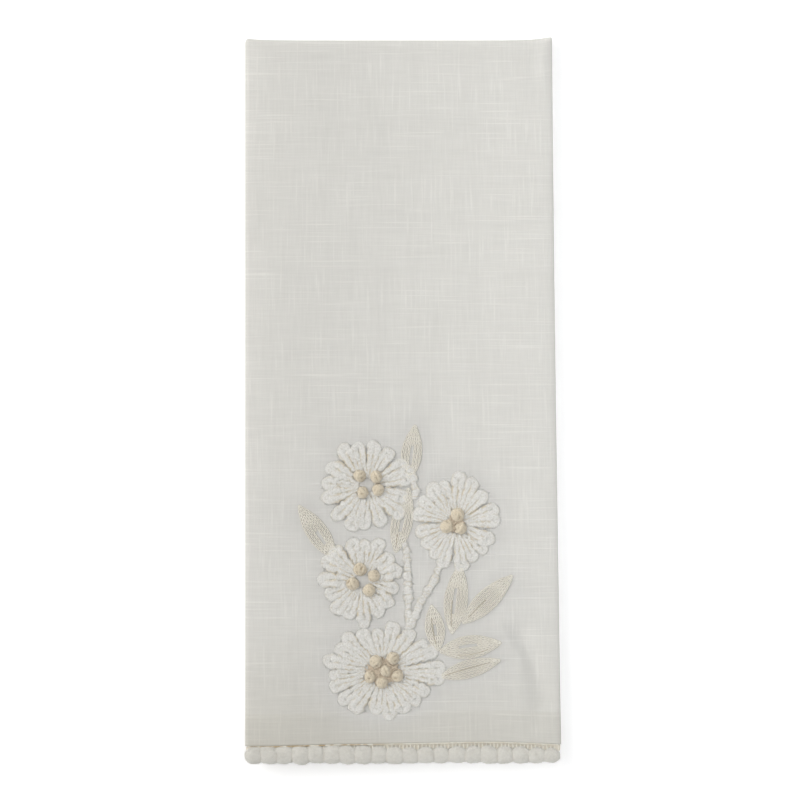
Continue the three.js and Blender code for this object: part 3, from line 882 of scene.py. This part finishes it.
def make_knot(node, sizes, material):
    """Knot of tan yarn: turns of yarn wound every way round a ball."""
    low, high = node_box(node)
    centre = np.array([*(low + high)[:2] / 2, WORK_Z])
    centre[2] += lift(*centre[:2], sizes)
    random = np.random.default_rng(SEEDS["knot"] + sum(map(ord, node)))
    fullness = np.array([*random.uniform(*KNOT_SIZES, 2) * KNOT_FULLNESS, KNOT_HEIGHT])
    half = fullness * (high - low) / [2, 2, 1]
    yarn = sizes.yarn / 2 / half[0]
    build = Build()
    ball, faces = ball_shape(BALL_STEPS)
    core = np.maximum(ball * (1 - CORE_INSET * yarn), [-1, -1, 0])
    build.add(centre + core * half, [faces], CORE_SHADE)
    first = random.uniform(0, 2 * math.pi)
    for number in range(KNOT_TURNS):
        tilt = TURN_TILTS[0] + TURN_TILTS[1] * number / KNOT_TURNS
        tilt = math.radians(tilt + random.uniform(-TILT_STRAY, TILT_STRAY))
        swing = first + TURN_SWING * number + random.uniform(-SWING_STRAY, SWING_STRAY)
        flat = math.sin(tilt)
        axis = np.array([flat * math.cos(swing), flat * math.sin(swing), math.cos(tilt)])
        aside = random.uniform(0.0, TURN_ASIDE)
        wrap = ring_round(axis, aside, math.sqrt(1 - aside**2) - yarn, yarn, random)
        wrap *= random.uniform(*TURN_SIZES)
        depth = np.linalg.norm(wrap, axis=1)
        wrap[:, 2] = np.maximum(wrap[:, 2], 0)
        hollow = 1 - soft_step(depth, 1 - TURN_SHADE[0] * yarn, TURN_SHADE[1])
        build.add(centre + wrap * half, [ring_faces(RING_STEPS, RING_SIDES)], hollow)
    return build.to_object(f"{node}_wound", material)


def make_eye_ground(name, sizes, material):
    """Low crossing stitches of tan thread on a pad in a daisy's eye."""
    centre, half = oval(f"daisy_{name}")
    half = half * DAISIES[name]["eye"]
    random = np.random.default_rng(SEEDS["eye"])
    build = Build()
    pad, faces = ball_shape(BALL_STEPS)
    build.add(laid(centre + pad[:, :2] * half * EYE_REACH, FACE_Z + pad[:, 2] * EYE_PAD, sizes), [faces])
    for number in range(EYE_STITCHES):
        turn = math.pi * number / EYE_STITCHES + random.uniform(-EYE_TURN, EYE_TURN)
        way = np.array([math.cos(turn), math.sin(turn)]) * half
        side = np.array([-math.sin(turn), math.cos(turn)])
        side = side * random.uniform(-EYE_SPREAD, EYE_SPREAD) * half
        flat = centre + side + np.linspace(-EYE_REACH, EYE_REACH, EYE_STEPS)[:, None] * way
        height = FACE_Z + EYE_HEIGHTS[0] + EYE_HEIGHTS[1] * random.uniform(0, 1)
        build.add(*tube(laid(flat, height, sizes), sizes.eye_thread / 2, EYE_SIDES)[:2])
    return build.to_object(f"daisy_{name}_eye_ground", material)


def leaf_line(leaf, part, first, last):
    """Path along a stretch of a leaf, at a share of its half-width to the left."""
    base = np.array(leaf["base"])
    way = np.array(leaf["tip"]) - base
    aside = np.array([-way[1], way[0]]) / np.hypot(*way)
    t = np.linspace(first, last, LEAF_STEPS)[:, None]
    bow = 2 * t * (1 - t)
    return base + (bow * LEAF_BELLY + t * t) * way + bow * leaf["width"] * part * aside


def chain_link(start, end, thread, random, sizes):
    """One chain stitch: a narrow loop of thread, wider at its far end."""
    run = end - start
    size = np.hypot(*run)
    way = run / size
    aside = np.array([-way[1], way[0]])
    angle = turns(LINK_STEPS)
    reach = LINK_REACH[0] - LINK_REACH[1] * np.cos(angle)
    wide = (sizes.row_pitch * LINK_WIDTH - thread * LINK_PRESS) * np.sin(angle)
    wide = wide * (1 - LINK_TAPER + LINK_TAPER * reach) * random.uniform(*LINK_SIZES)
    flat = start + (reach * size)[:, None] * way + wide[:, None] * aside
    height = FACE_Z + thread * (LINK_HEIGHTS[0] + LINK_HEIGHTS[1] * np.clip(reach, 0, 1))
    points, faces = ring_tube(laid(flat, height, sizes), thread, LEAF_SIDES)
    hollow = 1 - soft_step(np.sin(turns(LEAF_SIDES)), *LINK_SHADE)
    return points, faces, np.tile(hollow, LINK_STEPS)


def make_leaf(name, sizes, material):
    """Leaf filled with rows of chain stitch that run from its base to its tip, with an open middle and, on
    some leaves, a low thread painted in the shade colour for the shade between two rows."""
    leaf = LEAVES[name]
    base = np.array(leaf["base"])
    way = np.array(leaf["tip"]) - base
    random = np.random.default_rng(SEEDS["leaf"] + sorted(LEAVES).index(name))
    build = Build()
    thread = sizes.flax / 2
    rows = int(round(leaf["width"] / sizes.row_pitch))
    for row in range(rows):
        part = 2 * (row + 0.5) / rows - 1
        stretch = OUTER_ROW if row in (0, rows - 1) else INNER_ROWS[row % 2]
        path = even_steps(leaf_line(leaf, part, *stretch)[::3], sizes.chain * LINK_PITCH)
        for start, end in zip(path, path[1:]):
            along = (start - base) @ way / (way @ way)
            if leaf["open"]:
                right, left, first, last = leaf["open"]
                if right < part < left and first < along < last:
                    continue
            build.add(*chain_link(start, end, thread, random, sizes))
    # Painted shade: a low thread wholly in the crease colour, for the shade in the gap between two rows
    if leaf["shade_line"]:
        path = even_steps(leaf_line(leaf, *leaf["shade_line"]), SHADE_LINE_STEP)
        path = laid(path, FACE_Z + SHADE_LINE_HEIGHT * thread, sizes)
        build.add(*tube(path, SHADE_LINE_WIDTH * thread, LEAF_SIDES)[:2], 1.0)
    return build.to_object(f"{name}_chain", material)


# Trim


def trim_height(depth, share):
    """Height in the braid of a point below the front, from the hem down to its pompom row."""
    last = len(POMPOM_ROWS) - 1
    layer = np.clip(depth / LAYER_PITCH, 0, last)
    upper = np.floor(layer).astype(int)
    lower = np.minimum(upper + 1, last)
    top = FACE_Z - SECTION_SHEET / 2
    shift = np.array([row["middle"] for row in POMPOM_ROWS]) - (top - np.arange(last + 1) * LAYER_PITCH)
    flat = SECTION_SHEET / 2 / LAYER_PITCH
    mix = np.clip((layer - upper - flat) / (1 - 2 * flat), 0, 1)
    return top - depth + share * (shift[upper] * (1 - mix) + shift[lower] * mix)


def make_braid(sizes, material):
    """Braid of the trim: a narrow tape round the folds of the hem, from the cloth's edge to the
    middle of each pompom row."""
    points, normals, _ = thirds_section(*BRAID_STEPS)
    layers = []
    shares = np.linspace(0, 1, BRAID_ROWS)[:, None]
    for face in (0.5, -0.5):
        moved = points + face * sizes.tape * normals
        straight = HEM_Y - CLEARANCE - shares * BRAID_DROP
        x = across(moved[None, :, 0] * BRAID_WIDTH, straight)
        y = straight + (1 - shares) * hem_bow(x)
        z = trim_height(moved[None, :, 1], shares)
        layers.append(np.stack(np.broadcast_arrays(x, y, z), -1))
    build = Build()
    build.add(*two_faced(layers))
    return build.to_object("trim_braid", material)


def make_heading(sizes, material):
    """Heading of the trim: a cord along the front hem and the short rungs that hang from it."""
    build = Build()
    random = np.random.default_rng(SEEDS["heading"])
    width = sizes.heading
    first = LEFT_EDGE + HEADING_INSET
    last = right_edge(HEM_Y) - HEADING_INSET
    run = np.arange(first, last, CORD_STEP)
    height = FACE_Z + CORD_RISE + CORD_WAVE * np.sin(run * CORD_WAVES)
    flat = np.column_stack([run, HEM_Y + hem_bow(run) - CORD_TUCK * width])
    points, faces, _ = tube(laid(flat, height, sizes), width / 2, CORD_SIDES)
    dashes = soft_step(spread(random, (len(run), 1), 2)[:, 0], *CORD_DASHES)
    dashes = dashes * (1 - DASH_LOSS * soft_step(run, *DASH_FADE))
    build.add(points, faces, np.concatenate([np.repeat(dashes, CORD_SIDES), [0, 0]]))
    down, rise = np.array(RUNG_SHAPE).T
    for x in np.arange(first + RUNG_START, last, sizes.heading_pitch):
        x = x + random.uniform(-RUNG_STRAY, RUNG_STRAY)
        top = HEM_Y + hem_bow(x) - CLEARANCE - width * RUNG_TUCK
        length = sizes.rung * random.uniform(*RUNG_LENGTHS)
        rung = np.column_stack([np.full(len(down), x), top - length * down, FACE_Z + rise])
        path = even_steps(rung, RUNG_STEP)
        path = laid(path[:, :2], path[:, 2], sizes)
        build.add(*tube(path, width / 2, CORD_SIDES, aside=(1.0, 0.0, 0.0))[:2])
    return build.to_object("trim_heading", material)


def make_pompoms(row_number, sizes, material):
    """One row of pompoms: crowded balls of cut yarn that press flat against each other."""
    row = POMPOM_ROWS[row_number]
    random = np.random.default_rng(SEEDS["pompom"] + row_number)
    ball, faces = ball_shape(POMPOM_STEPS[row["fine"]])
    barrel = ball / (np.abs(ball) ** BARREL_POWER).sum(1, keepdims=True) ** (1 / BARREL_POWER)
    low = node_box("pompom_trim")[0]
    build = Build()
    pitch = sizes.pompom_pitch
    for number in range(row["count"]):
        x = row["first_x"] + number * pitch + random.uniform(-POMPOM_STRAY, POMPOM_STRAY)
        tip = low[1] + row["tip_inset"] * (1 + random.uniform(-TIP_STRAY, TIP_STRAY))
        tip += TRIM_RISE * (x - LEFT_EDGE) / (2 * HALF_WIDTH)
        shown = soft_step(x, *HEADING_SHOWS)
        top = min(tip + sizes.pompom_length, HEM_Y + hem_bow(x) - row["tuck"] - row["show"] * shown)
        wide = sizes.pompom_width * random.uniform(*POMPOM_WIDTHS)
        size = np.array([wide, top - tip, row["height"] * random.uniform(*POMPOM_HEIGHTS)]) / 2
        bumps = np.zeros(len(ball))
        for _ in range(TUFT_WAVES):
            way = random.normal(0, 1, 3)
            way *= random.uniform(*TUFT_SIZES) / np.linalg.norm(way)
            bumps += np.sin(ball @ way + random.uniform(0, 2 * math.pi)) / math.sqrt(TUFT_WAVES)
        offset = barrel * size * (1 + sizes.tufts * bumps[:, None])
        outward = (number == row["count"] - 1) * 1 - (number == 0) * 1
        offset[offset[:, 0] * outward > 0, 0] *= (pitch / 2 + END_SWELL) / size[0]
        offset[:, 0] *= 1 - TOP_TAPER * shown * soft_step(offset[:, 1] / size[1], 0, 1)
        offset[:, 0] += random.uniform(-POMPOM_LEAN, POMPOM_LEAN) * offset[:, 1]
        points = np.array([x, (tip + top) / 2, row["middle"]]) + offset
        sides = np.array(SIDE_SHADE) * pitch
        hollow = soft_step(np.abs(offset[:, 0]), *sides)
        hollow = hollow * (1 - soft_step(offset[:, 1] / size[1], *SHADE_TOP))
        build.add(points, [faces], np.clip(hollow - TUFT_SHADE * bumps, 0, 1))
        if row["fine"]:
            upper = np.flatnonzero(ball[:, 2] > POMPOM_PILE_LOW)
            chosen = random.choice(upper, POMPOM_PILE, replace=False)
            locks = fibres(random, points[chosen], ball[chosen], sizes.pompom_pile, sizes.pompom_lock)
            build.add(*locks, np.repeat(hollow[chosen], 4))
    return build.to_object(f"pompoms_row_{row_number + 1}", material)


# Materials


def linear(code):
    """Linear colour of an sRGB hex code."""
    parts = [int(code[start:start + 2], 16) / 255 for start in (1, 3, 5)]
    return tuple(c / 12.92 if c <= 0.04045 else ((c + 0.055) / 1.055) ** 2.4 for c in parts)


def add_node(tree, kind, inputs, output=0, **settings):
    """Adds a node with its settings, sets or links its inputs, and gives one of its outputs."""
    node = tree.nodes.new("ShaderNode" + kind)
    for key, value in settings.items():
        setattr(node, key, value)
    for key, value in inputs.items():
        if isinstance(value, bpy.types.NodeSocket):
            tree.links.new(value, node.inputs[key])
        else:
            node.inputs[key].default_value = value
    return node.outputs[output]


def new_material(name, finish):
    """New material, its tree and its shader, with the finish set on the shader's sockets."""
    material = bpy.data.materials.new(name)
    material.use_nodes = True
    shader = material.node_tree.nodes["Principled BSDF"]
    for key, value in finish.items():
        shader.inputs[key].default_value = value
    return material, material.node_tree, shader


def slub_cotton(colour, hem, embroidery_shade):
    """Plain-woven cotton of uneven yarn: matt, with fine threads both ways and thick slubs that show as
    pale streaks. The threads, really 0.4 mm apart, are made a little coarser to show. Its colour carries
    painted shade towards the front hem and round the embroidery."""
    finish = {"Roughness": 0.95, "Specular IOR Level": 0.2}
    material, tree, shader = new_material("slub_cotton_weave", finish)
    place = add_node(tree, "UVMap", {}, uv_map="cloth")
    streaks = []
    for width, length, detail in STREAKS:
        scale = (1 / (width * MM), 1 / (length * MM), 1.0)
        scaled = add_node(tree, "Mapping", {"Vector": place, "Scale": scale})
        noise = {"Vector": scaled, "Scale": 1.0, "Detail": detail, "Roughness": 0.6}
        streaks.append(add_node(tree, "TexNoise", noise))
    slubs = []
    for streak in streaks[2:4]:
        rise = {"Value": streak, "From Min": SLUB_RANGE[0], "From Max": SLUB_RANGE[1]}
        slubs.append(add_node(tree, "MapRange", rise, interpolation_type="SMOOTHSTEP"))
    along = add_node(tree, "Math", {0: slubs[0], 1: SLUB_ALONG}, operation="MULTIPLY")
    slub = add_node(tree, "Math", {0: along, 1: slubs[1]}, operation="MAXIMUM")
    tone = add_node(tree, "Math", {0: slub, 1: SLUB_TONE, 2: 1.0}, operation="MULTIPLY_ADD")
    fine = add_node(tree, "Math", {0: streaks[0], 1: streaks[1]}, operation="ADD")
    broad = add_node(tree, "Math", {0: streaks[4], 1: streaks[5]}, operation="ADD")
    for streak, depth in ((fine, FINE_TONE), (broad, BROAD_TONE)):
        limits = {"From Min": 0.6, "From Max": 1.4, "To Min": 1 - depth, "To Max": 1 + depth}
        shade = add_node(tree, "MapRange", {"Value": streak, **limits})
        tone = add_node(tree, "Math", {0: tone, 1: shade}, operation="MULTIPLY")
    ground = colour
    # Painted shade: one share darkens the cloth towards the front hem, the other round the embroidery
    for name, shaded in (("hollow", hem), ("embroidery_shade", embroidery_shade)):
        share = add_node(tree, "Attribute", {}, "Fac", attribute_name=name)
        ground = add_node(tree, "Mix", {"Factor": share, 4: ground, 5: shaded}, 1, data_type="VECTOR")
    tinted = add_node(tree, "VectorMath", {"Vector": ground, "Scale": tone}, operation="SCALE")
    tree.links.new(tinted, shader.inputs["Base Color"])
    raised = add_node(tree, "Math", {0: slub, 1: SLUB_RISE, 2: fine}, operation="MULTIPLY_ADD")
    relief = {"Strength": 0.35, "Distance": WEAVE_DEPTH * MM, "Height": raised}
    tree.links.new(add_node(tree, "Bump", relief), shader.inputs["Normal"])
    return material


def spun_yarn(name, colour, lump=0.5, depth=0.1, shade=0.08, crease=None, specks=0.0, fuzz=0.0):
    """Soft spun fibre: matt, with tufts of a given size and depth in millimetres, and a warmer
    shade in its creases and in the specks between its tufts. Where it has a pile, it has a pale
    fuzz along its edges. The sizes left out are those of a fine thread."""
    finish = {"Roughness": 0.95, "Specular IOR Level": 0.15, "Sheen Weight": fuzz, "Sheen Roughness": 0.6}
    material, tree, shader = new_material(name, finish)
    place = add_node(tree, "TexCoord", {}, "Object")
    tufts = {"Vector": place, "Scale": 1 / (lump * MM), "Detail": 3.0, "Roughness": 0.65}
    noise = add_node(tree, "TexNoise", tufts)
    limits = {"From Min": 0.3, "From Max": 0.7, "To Min": 1 - shade, "To Max": 1 + shade}
    tone = add_node(tree, "MapRange", {"Value": noise, **limits})
    tinted = add_node(tree, "VectorMath", {"Vector": colour, "Scale": tone}, operation="SCALE")
    if crease is not None:
        hollow = add_node(tree, "Attribute", {}, "Fac", attribute_name="hollow")
        limits = {"From Min": 0.42, "From Max": 0.3, "To Min": 0.0, "To Max": specks}
        speck = add_node(tree, "MapRange", {"Value": noise, **limits})
        deep = add_node(tree, "Math", {0: hollow, 1: speck}, operation="MAXIMUM")
        tinted = add_node(tree, "Mix", {"Factor": deep, 4: tinted, 5: crease}, 1, data_type="VECTOR")
    tree.links.new(tinted, shader.inputs["Base Color"])
    relief = {"Strength": 0.5, "Distance": depth * MM, "Height": noise}
    tree.links.new(add_node(tree, "Bump", relief), shader.inputs["Normal"])
    return material


def matt_paper(colour):
    """Matt white sweep of paper, lit through from below as on a light table."""
    finish = {
        "Base Color": (*colour, 1),
        "Roughness": 1.0,
        "Specular IOR Level": 0.0,
        "Emission Color": (1, 1, 1, 1),
        "Emission Strength": PAPER_GLOW,
    }
    return new_material("matt_white_paper", finish)[0]


# Properties, operators and panel


def length_property(name, description, millimetres):
    """Length that a user may change, given in millimetres."""
    return FloatProperty(name=name, description=description, default=millimetres * MM, unit="LENGTH")


def colour_property(name, description, code):
    """Colour that a user may change, given as an sRGB hex code."""
    return FloatVectorProperty(
        name=name, description=description, subtype="COLOR", size=3, min=0, max=1, default=linear(code)
    )


class TowelSizes(bpy.types.PropertyGroup):
    """Sizes of the towel's cloth, yarns and trim."""

    sheet: length_property("Sheet", "Thickness of one layer of the cloth", 0.9)
    hem_depth: length_property("Hem depth", "Depth of the turned hem", 15.5)
    hem_rise: length_property("Hem rise", "How far the turned hem stands up", 0.5)
    stem: length_property("Stem", "Width of a stem's chenille", 3.8)
    lumps: FloatProperty(
        name="Lumps", description="Unevenness of the chenille", default=0.34, subtype="FACTOR"
    )
    wobble: length_property("Wobble", "How far a strand strays from its line", 0.35)
    lump_step: length_property("Lump step", "Distance between points along a strand", 0.5)
    pile: length_property("Pile", "Length of the pile's tufts", 1.2)
    pile_width: length_property("Pile width", "Half-width of a tuft of pile", 0.14)
    pile_share: FloatProperty(
        name="Pile share", description="Tufts of pile for each point of a strand", default=1.2
    )
    yarn: length_property("Knot yarn", "Width of the tan knot yarn", 2.1)
    eye_thread: length_property("Eye thread", "Width of the stitches in a daisy's eye", 0.7)
    flax: length_property("Leaf thread", "Width of the leaves' thread", 0.6)
    chain: length_property("Chain stitch", "Length of a chain stitch", 2.2)
    row_pitch: length_property("Row pitch", "Distance between rows of chain stitch", 1.45)
    thread: length_property("Thread", "Width of the sewing thread", 0.3)
    tie_pitch: length_property("Tie pitch", "Distance between ties on a stem", 3.6)
    tape: length_property("Tape", "Thickness of the trim's braid", 0.8)
    heading: length_property("Heading", "Width of the heading's cord and rungs", 0.6)
    heading_pitch: length_property("Heading pitch", "Distance between rungs", 1.85)
    rung: length_property("Rung", "Length of a rung", 2.4)
    pompom_width: length_property("Pompom width", "Width of a pompom", 11.4)
    pompom_length: length_property("Pompom length", "Length of a pompom", 9.4)
    pompom_pitch: length_property("Pompom pitch", "Distance between pompoms", 7.7)
    pompom_pile: length_property("Pompom pile", "Length of the locks on a pompom", 0.8)
    pompom_lock: length_property("Pompom lock", "Half-width of a lock on a pompom", 0.09)
    tufts: FloatProperty(
        name="Tufts", description="Unevenness of a pompom", default=0.03, subtype="FACTOR"
    )


def sizes_of(scene):
    """The towel's sizes, with the lengths in millimetres."""
    group = scene.towel_sizes
    values = {}
    for key, kind in group.bl_rna.properties.items():
        if kind.type == "FLOAT":
            values[key] = getattr(group, key) / (MM if kind.unit == "LENGTH" else 1)
    return SimpleNamespace(**values)


class TowelColours(bpy.types.PropertyGroup):
    """Colours of the towel's cloth, yarns and trim."""

    cotton: colour_property("Cotton", "Cloth of the towel", "#D2D1CC")
    # Painted shade: the cloth's colour towards the front hem, deepest on the doubled hem
    hem: colour_property("Hem", "Cloth where it is doubled at the hem", "#C4C2BA")
    # Painted shade: the cloth's colour round the embroidery, where the stitches shade it
    embroidery_shade: colour_property("Drawn cloth", "Cloth that the embroidery draws in", "#CAC9C5")
    chenille: colour_property("Chenille", "Daisies and stems", "#D3D2CD")
    crease: colour_property("Crease", "Shade down between chenille strands", "#C0B294")
    tan: colour_property("Tan yarn", "Knots in the daisies", "#D2C7B1")
    tan_crease: colour_property("Tan crease", "Shade low on a knot", "#968468")
    eye: colour_property("Eye", "Stitches in the daisies' eyes", "#C8BBA8")
    flax: colour_property("Flax thread", "Leaves", "#E3E0D6")
    flax_crease: colour_property("Flax crease", "Shade between the leaves' threads", "#BAB09B")
    pompom: colour_property("Pompom yarn", "Pompoms", "#D0CEC6")
    pompom_crease: colour_property("Pompom crease", "Shade between pompoms", "#CFCBC1")
    braid: colour_property("Braid", "Tape behind the heading", "#DAD4C6")
    heading: colour_property("Heading", "Cord and rungs of the trim", "#E8E5DA")
    heading_dash: colour_property("Heading dash", "Bare tan stretches of the cord", "#B9A687")
    tie: colour_property("Tie thread", "Ties on the stems", "#D3CCBD")
    paper: colour_property("Paper", "Floor", "#F7F7F7")


def dress(piece, nodes):
    """Puts a piece on the towel's body, in place of its solids."""
    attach(piece, BODY)
    if nodes:
        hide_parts(*nodes)
    return piece


class TOWEL_OT_cloth(bpy.types.Operator):
    """Make the folded cloth"""

    bl_idname = "towel.cloth"
    bl_label = "Cloth"

    def execute(self, context):
        sizes = sizes_of(context.scene)
        colours = context.scene.towel_colours
        cloth, width, length = make_cloth(sizes, slub_cotton(colours.cotton, colours.hem, colours.embroidery_shade))
        dress(cloth, ["towel_cloth"])
        return {"FINISHED"}


class TOWEL_OT_daisies(bpy.types.Operator):
    """Make the four daisies of looped chenille"""

    bl_idname = "towel.daisies"
    bl_label = "Daisies"

    def execute(self, context):
        sizes = sizes_of(context.scene)
        colours = context.scene.towel_colours
        material = spun_yarn(
            "cotton_chenille_pile", colours.chenille, lump=0.8, depth=0.5, shade=0.15,
            crease=colours.crease, specks=0.5, fuzz=1.0,
        )
        for name in DAISIES:
            dress(make_daisy(name, sizes, material), [f"daisy_{name}"])
        thread = spun_yarn("cotton_tie_thread", colours.tie, lump=0.4, shade=0.05)
        for name in STEMS:
            piece, tie = make_stem(name, sizes, material, thread)
            dress(piece, [name])
            dress(tie, [])
        return {"FINISHED"}


class TOWEL_OT_knots(bpy.types.Operator):
    """Make the wound knots in the daisies' eyes"""

    bl_idname = "towel.knots"
    bl_label = "Knots"

    def execute(self, context):
        sizes = sizes_of(context.scene)
        colours = context.scene.towel_colours
        material = spun_yarn(
            "wound_tan_cotton", colours.tan, lump=0.9, depth=0.3,
            crease=colours.tan_crease, specks=0.6, fuzz=0.5,
        )
        for node in [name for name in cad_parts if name.startswith("knot_")]:
            dress(make_knot(node, sizes, material), [node])
        ground = spun_yarn("tan_eye_thread", colours.eye)
        for name in [name for name, style in DAISIES.items() if style["ground"]]:
            dress(make_eye_ground(name, sizes, ground), [])
        return {"FINISHED"}


class TOWEL_OT_leaves(bpy.types.Operator):
    """Make the leaves of chain stitch"""

    bl_idname = "towel.leaves"
    bl_label = "Leaves"

    def execute(self, context):
        sizes = sizes_of(context.scene)
        colours = context.scene.towel_colours
        material = spun_yarn("flax_coloured_thread", colours.flax, crease=colours.flax_crease)
        for name in LEAVES:
            dress(make_leaf(name, sizes, material), [name])
        return {"FINISHED"}


class TOWEL_OT_trim(bpy.types.Operator):
    """Make the pompom trim with its braid and heading"""

    bl_idname = "towel.trim"
    bl_label = "Trim"

    def execute(self, context):
        sizes = sizes_of(context.scene)
        colours = context.scene.towel_colours
        yarn = spun_yarn(
            "cut_pompom_yarn", colours.pompom, lump=1.1, depth=0.4, shade=0.07,
            crease=colours.pompom_crease, fuzz=0.8,
        )
        tape = spun_yarn("tan_braid_tape", colours.braid)
        cord = spun_yarn("tan_heading_cord", colours.heading, crease=colours.heading_dash)
        dress(make_braid(sizes, tape), ["pompom_trim"])
        dress(make_heading(sizes, cord), [])
        for row_number in range(len(POMPOM_ROWS)):
            dress(make_pompoms(row_number, sizes, yarn), ["pompom_trim"])
        return {"FINISHED"}


class TOWEL_OT_stage(bpy.types.Operator):
    """Set the floor, the soft studio light and the camera over the towel"""

    bl_idname = "towel.stage"
    bl_label = "Stage"

    def execute(self, context):
        colours = context.scene.towel_colours
        scene = context.scene
        build = Build()
        corners = [(x * FLOOR_REACH, y * FLOOR_REACH, FLOOR_Z) for x, y in FLOOR_CORNERS]
        build.add(corners, [[[0, 1, 2, 3]]])
        floor = build.to_object("floor", matt_paper(colours.paper))

        world = bpy.data.worlds.new("soft_room")
        world.use_nodes = True
        background = world.node_tree.nodes["Background"]
        background.inputs["Color"].default_value = (1.0, 1.0, 1.0, 1)
        background.inputs["Strength"].default_value = ROOM_LIGHT
        scene.world = world

        for light in LIGHTS:
            source = bpy.data.lights.new(light["name"], "AREA")
            source.shape = "RECTANGLE"
            source.size = light["width"]
            source.size_y = light["length"]
            source.spread = math.radians(light["spread"])
            source.energy = light["power"]
            source.color = linear(light["tint"])
            lamp = bpy.data.objects.new(light["name"], source)
            lamp.location = light["place"]
            way = lamp.location - Vector(light["aim"])
            lamp.rotation_euler = way.to_track_quat("Z", "X").to_euler()
            lamp.visible_camera = False
            scene.collection.objects.link(lamp)

        view = bpy.data.cameras.new("camera_above")
        view.lens = LENS
        view.sensor_width = SENSOR
        camera = bpy.data.objects.new("camera_above", view)
        distance = PHOTO_WIDTH * LENS / SENSOR
        camera.location = (VIEW_CENTRE[0] * MM, VIEW_CENTRE[1] * MM, (FACE_Z + distance) * MM)
        scene.collection.objects.link(camera)
        scene.camera = camera
        scene.view_settings.view_transform = "Standard"
        return {"FINISHED"}


PIECES = [TOWEL_OT_cloth, TOWEL_OT_daisies, TOWEL_OT_knots, TOWEL_OT_leaves, TOWEL_OT_trim, TOWEL_OT_stage]


class TOWEL_PT_panel(bpy.types.Panel):
    """Lists the towel's pieces, sizes and colours"""

    bl_idname = "TOWEL_PT_panel"
    bl_label = "Towel"
    bl_space_type = "VIEW_3D"
    bl_region_type = "UI"
    bl_category = "Towel"

    def draw(self, context):
        for operator in PIECES:
            self.layout.operator(operator.bl_idname)
        for group in (context.scene.towel_sizes, context.scene.towel_colours):
            for name in group.bl_rna.properties.keys():
                if name not in ("rna_type", "name"):
                    self.layout.prop(group, name)


CLASSES = [TowelSizes, TowelColours, *PIECES, TOWEL_PT_panel]


def register():
    """Registers the classes and the scene's properties."""
    for each in CLASSES:
        bpy.utils.register_class(each)
    bpy.types.Scene.towel_sizes = PointerProperty(type=TowelSizes)
    bpy.types.Scene.towel_colours = PointerProperty(type=TowelColours)


def unregister():
    """Removes what register added."""
    del bpy.types.Scene.towel_colours
    del bpy.types.Scene.towel_sizes
    for each in reversed(CLASSES):
        bpy.utils.unregister_class(each)


def main():
    """Makes the towel and its stage."""
    register()
    for operator in PIECES:
        getattr(bpy.ops.towel, operator.bl_idname.split(".")[1])()


if __name__ == "__main__":
    main()
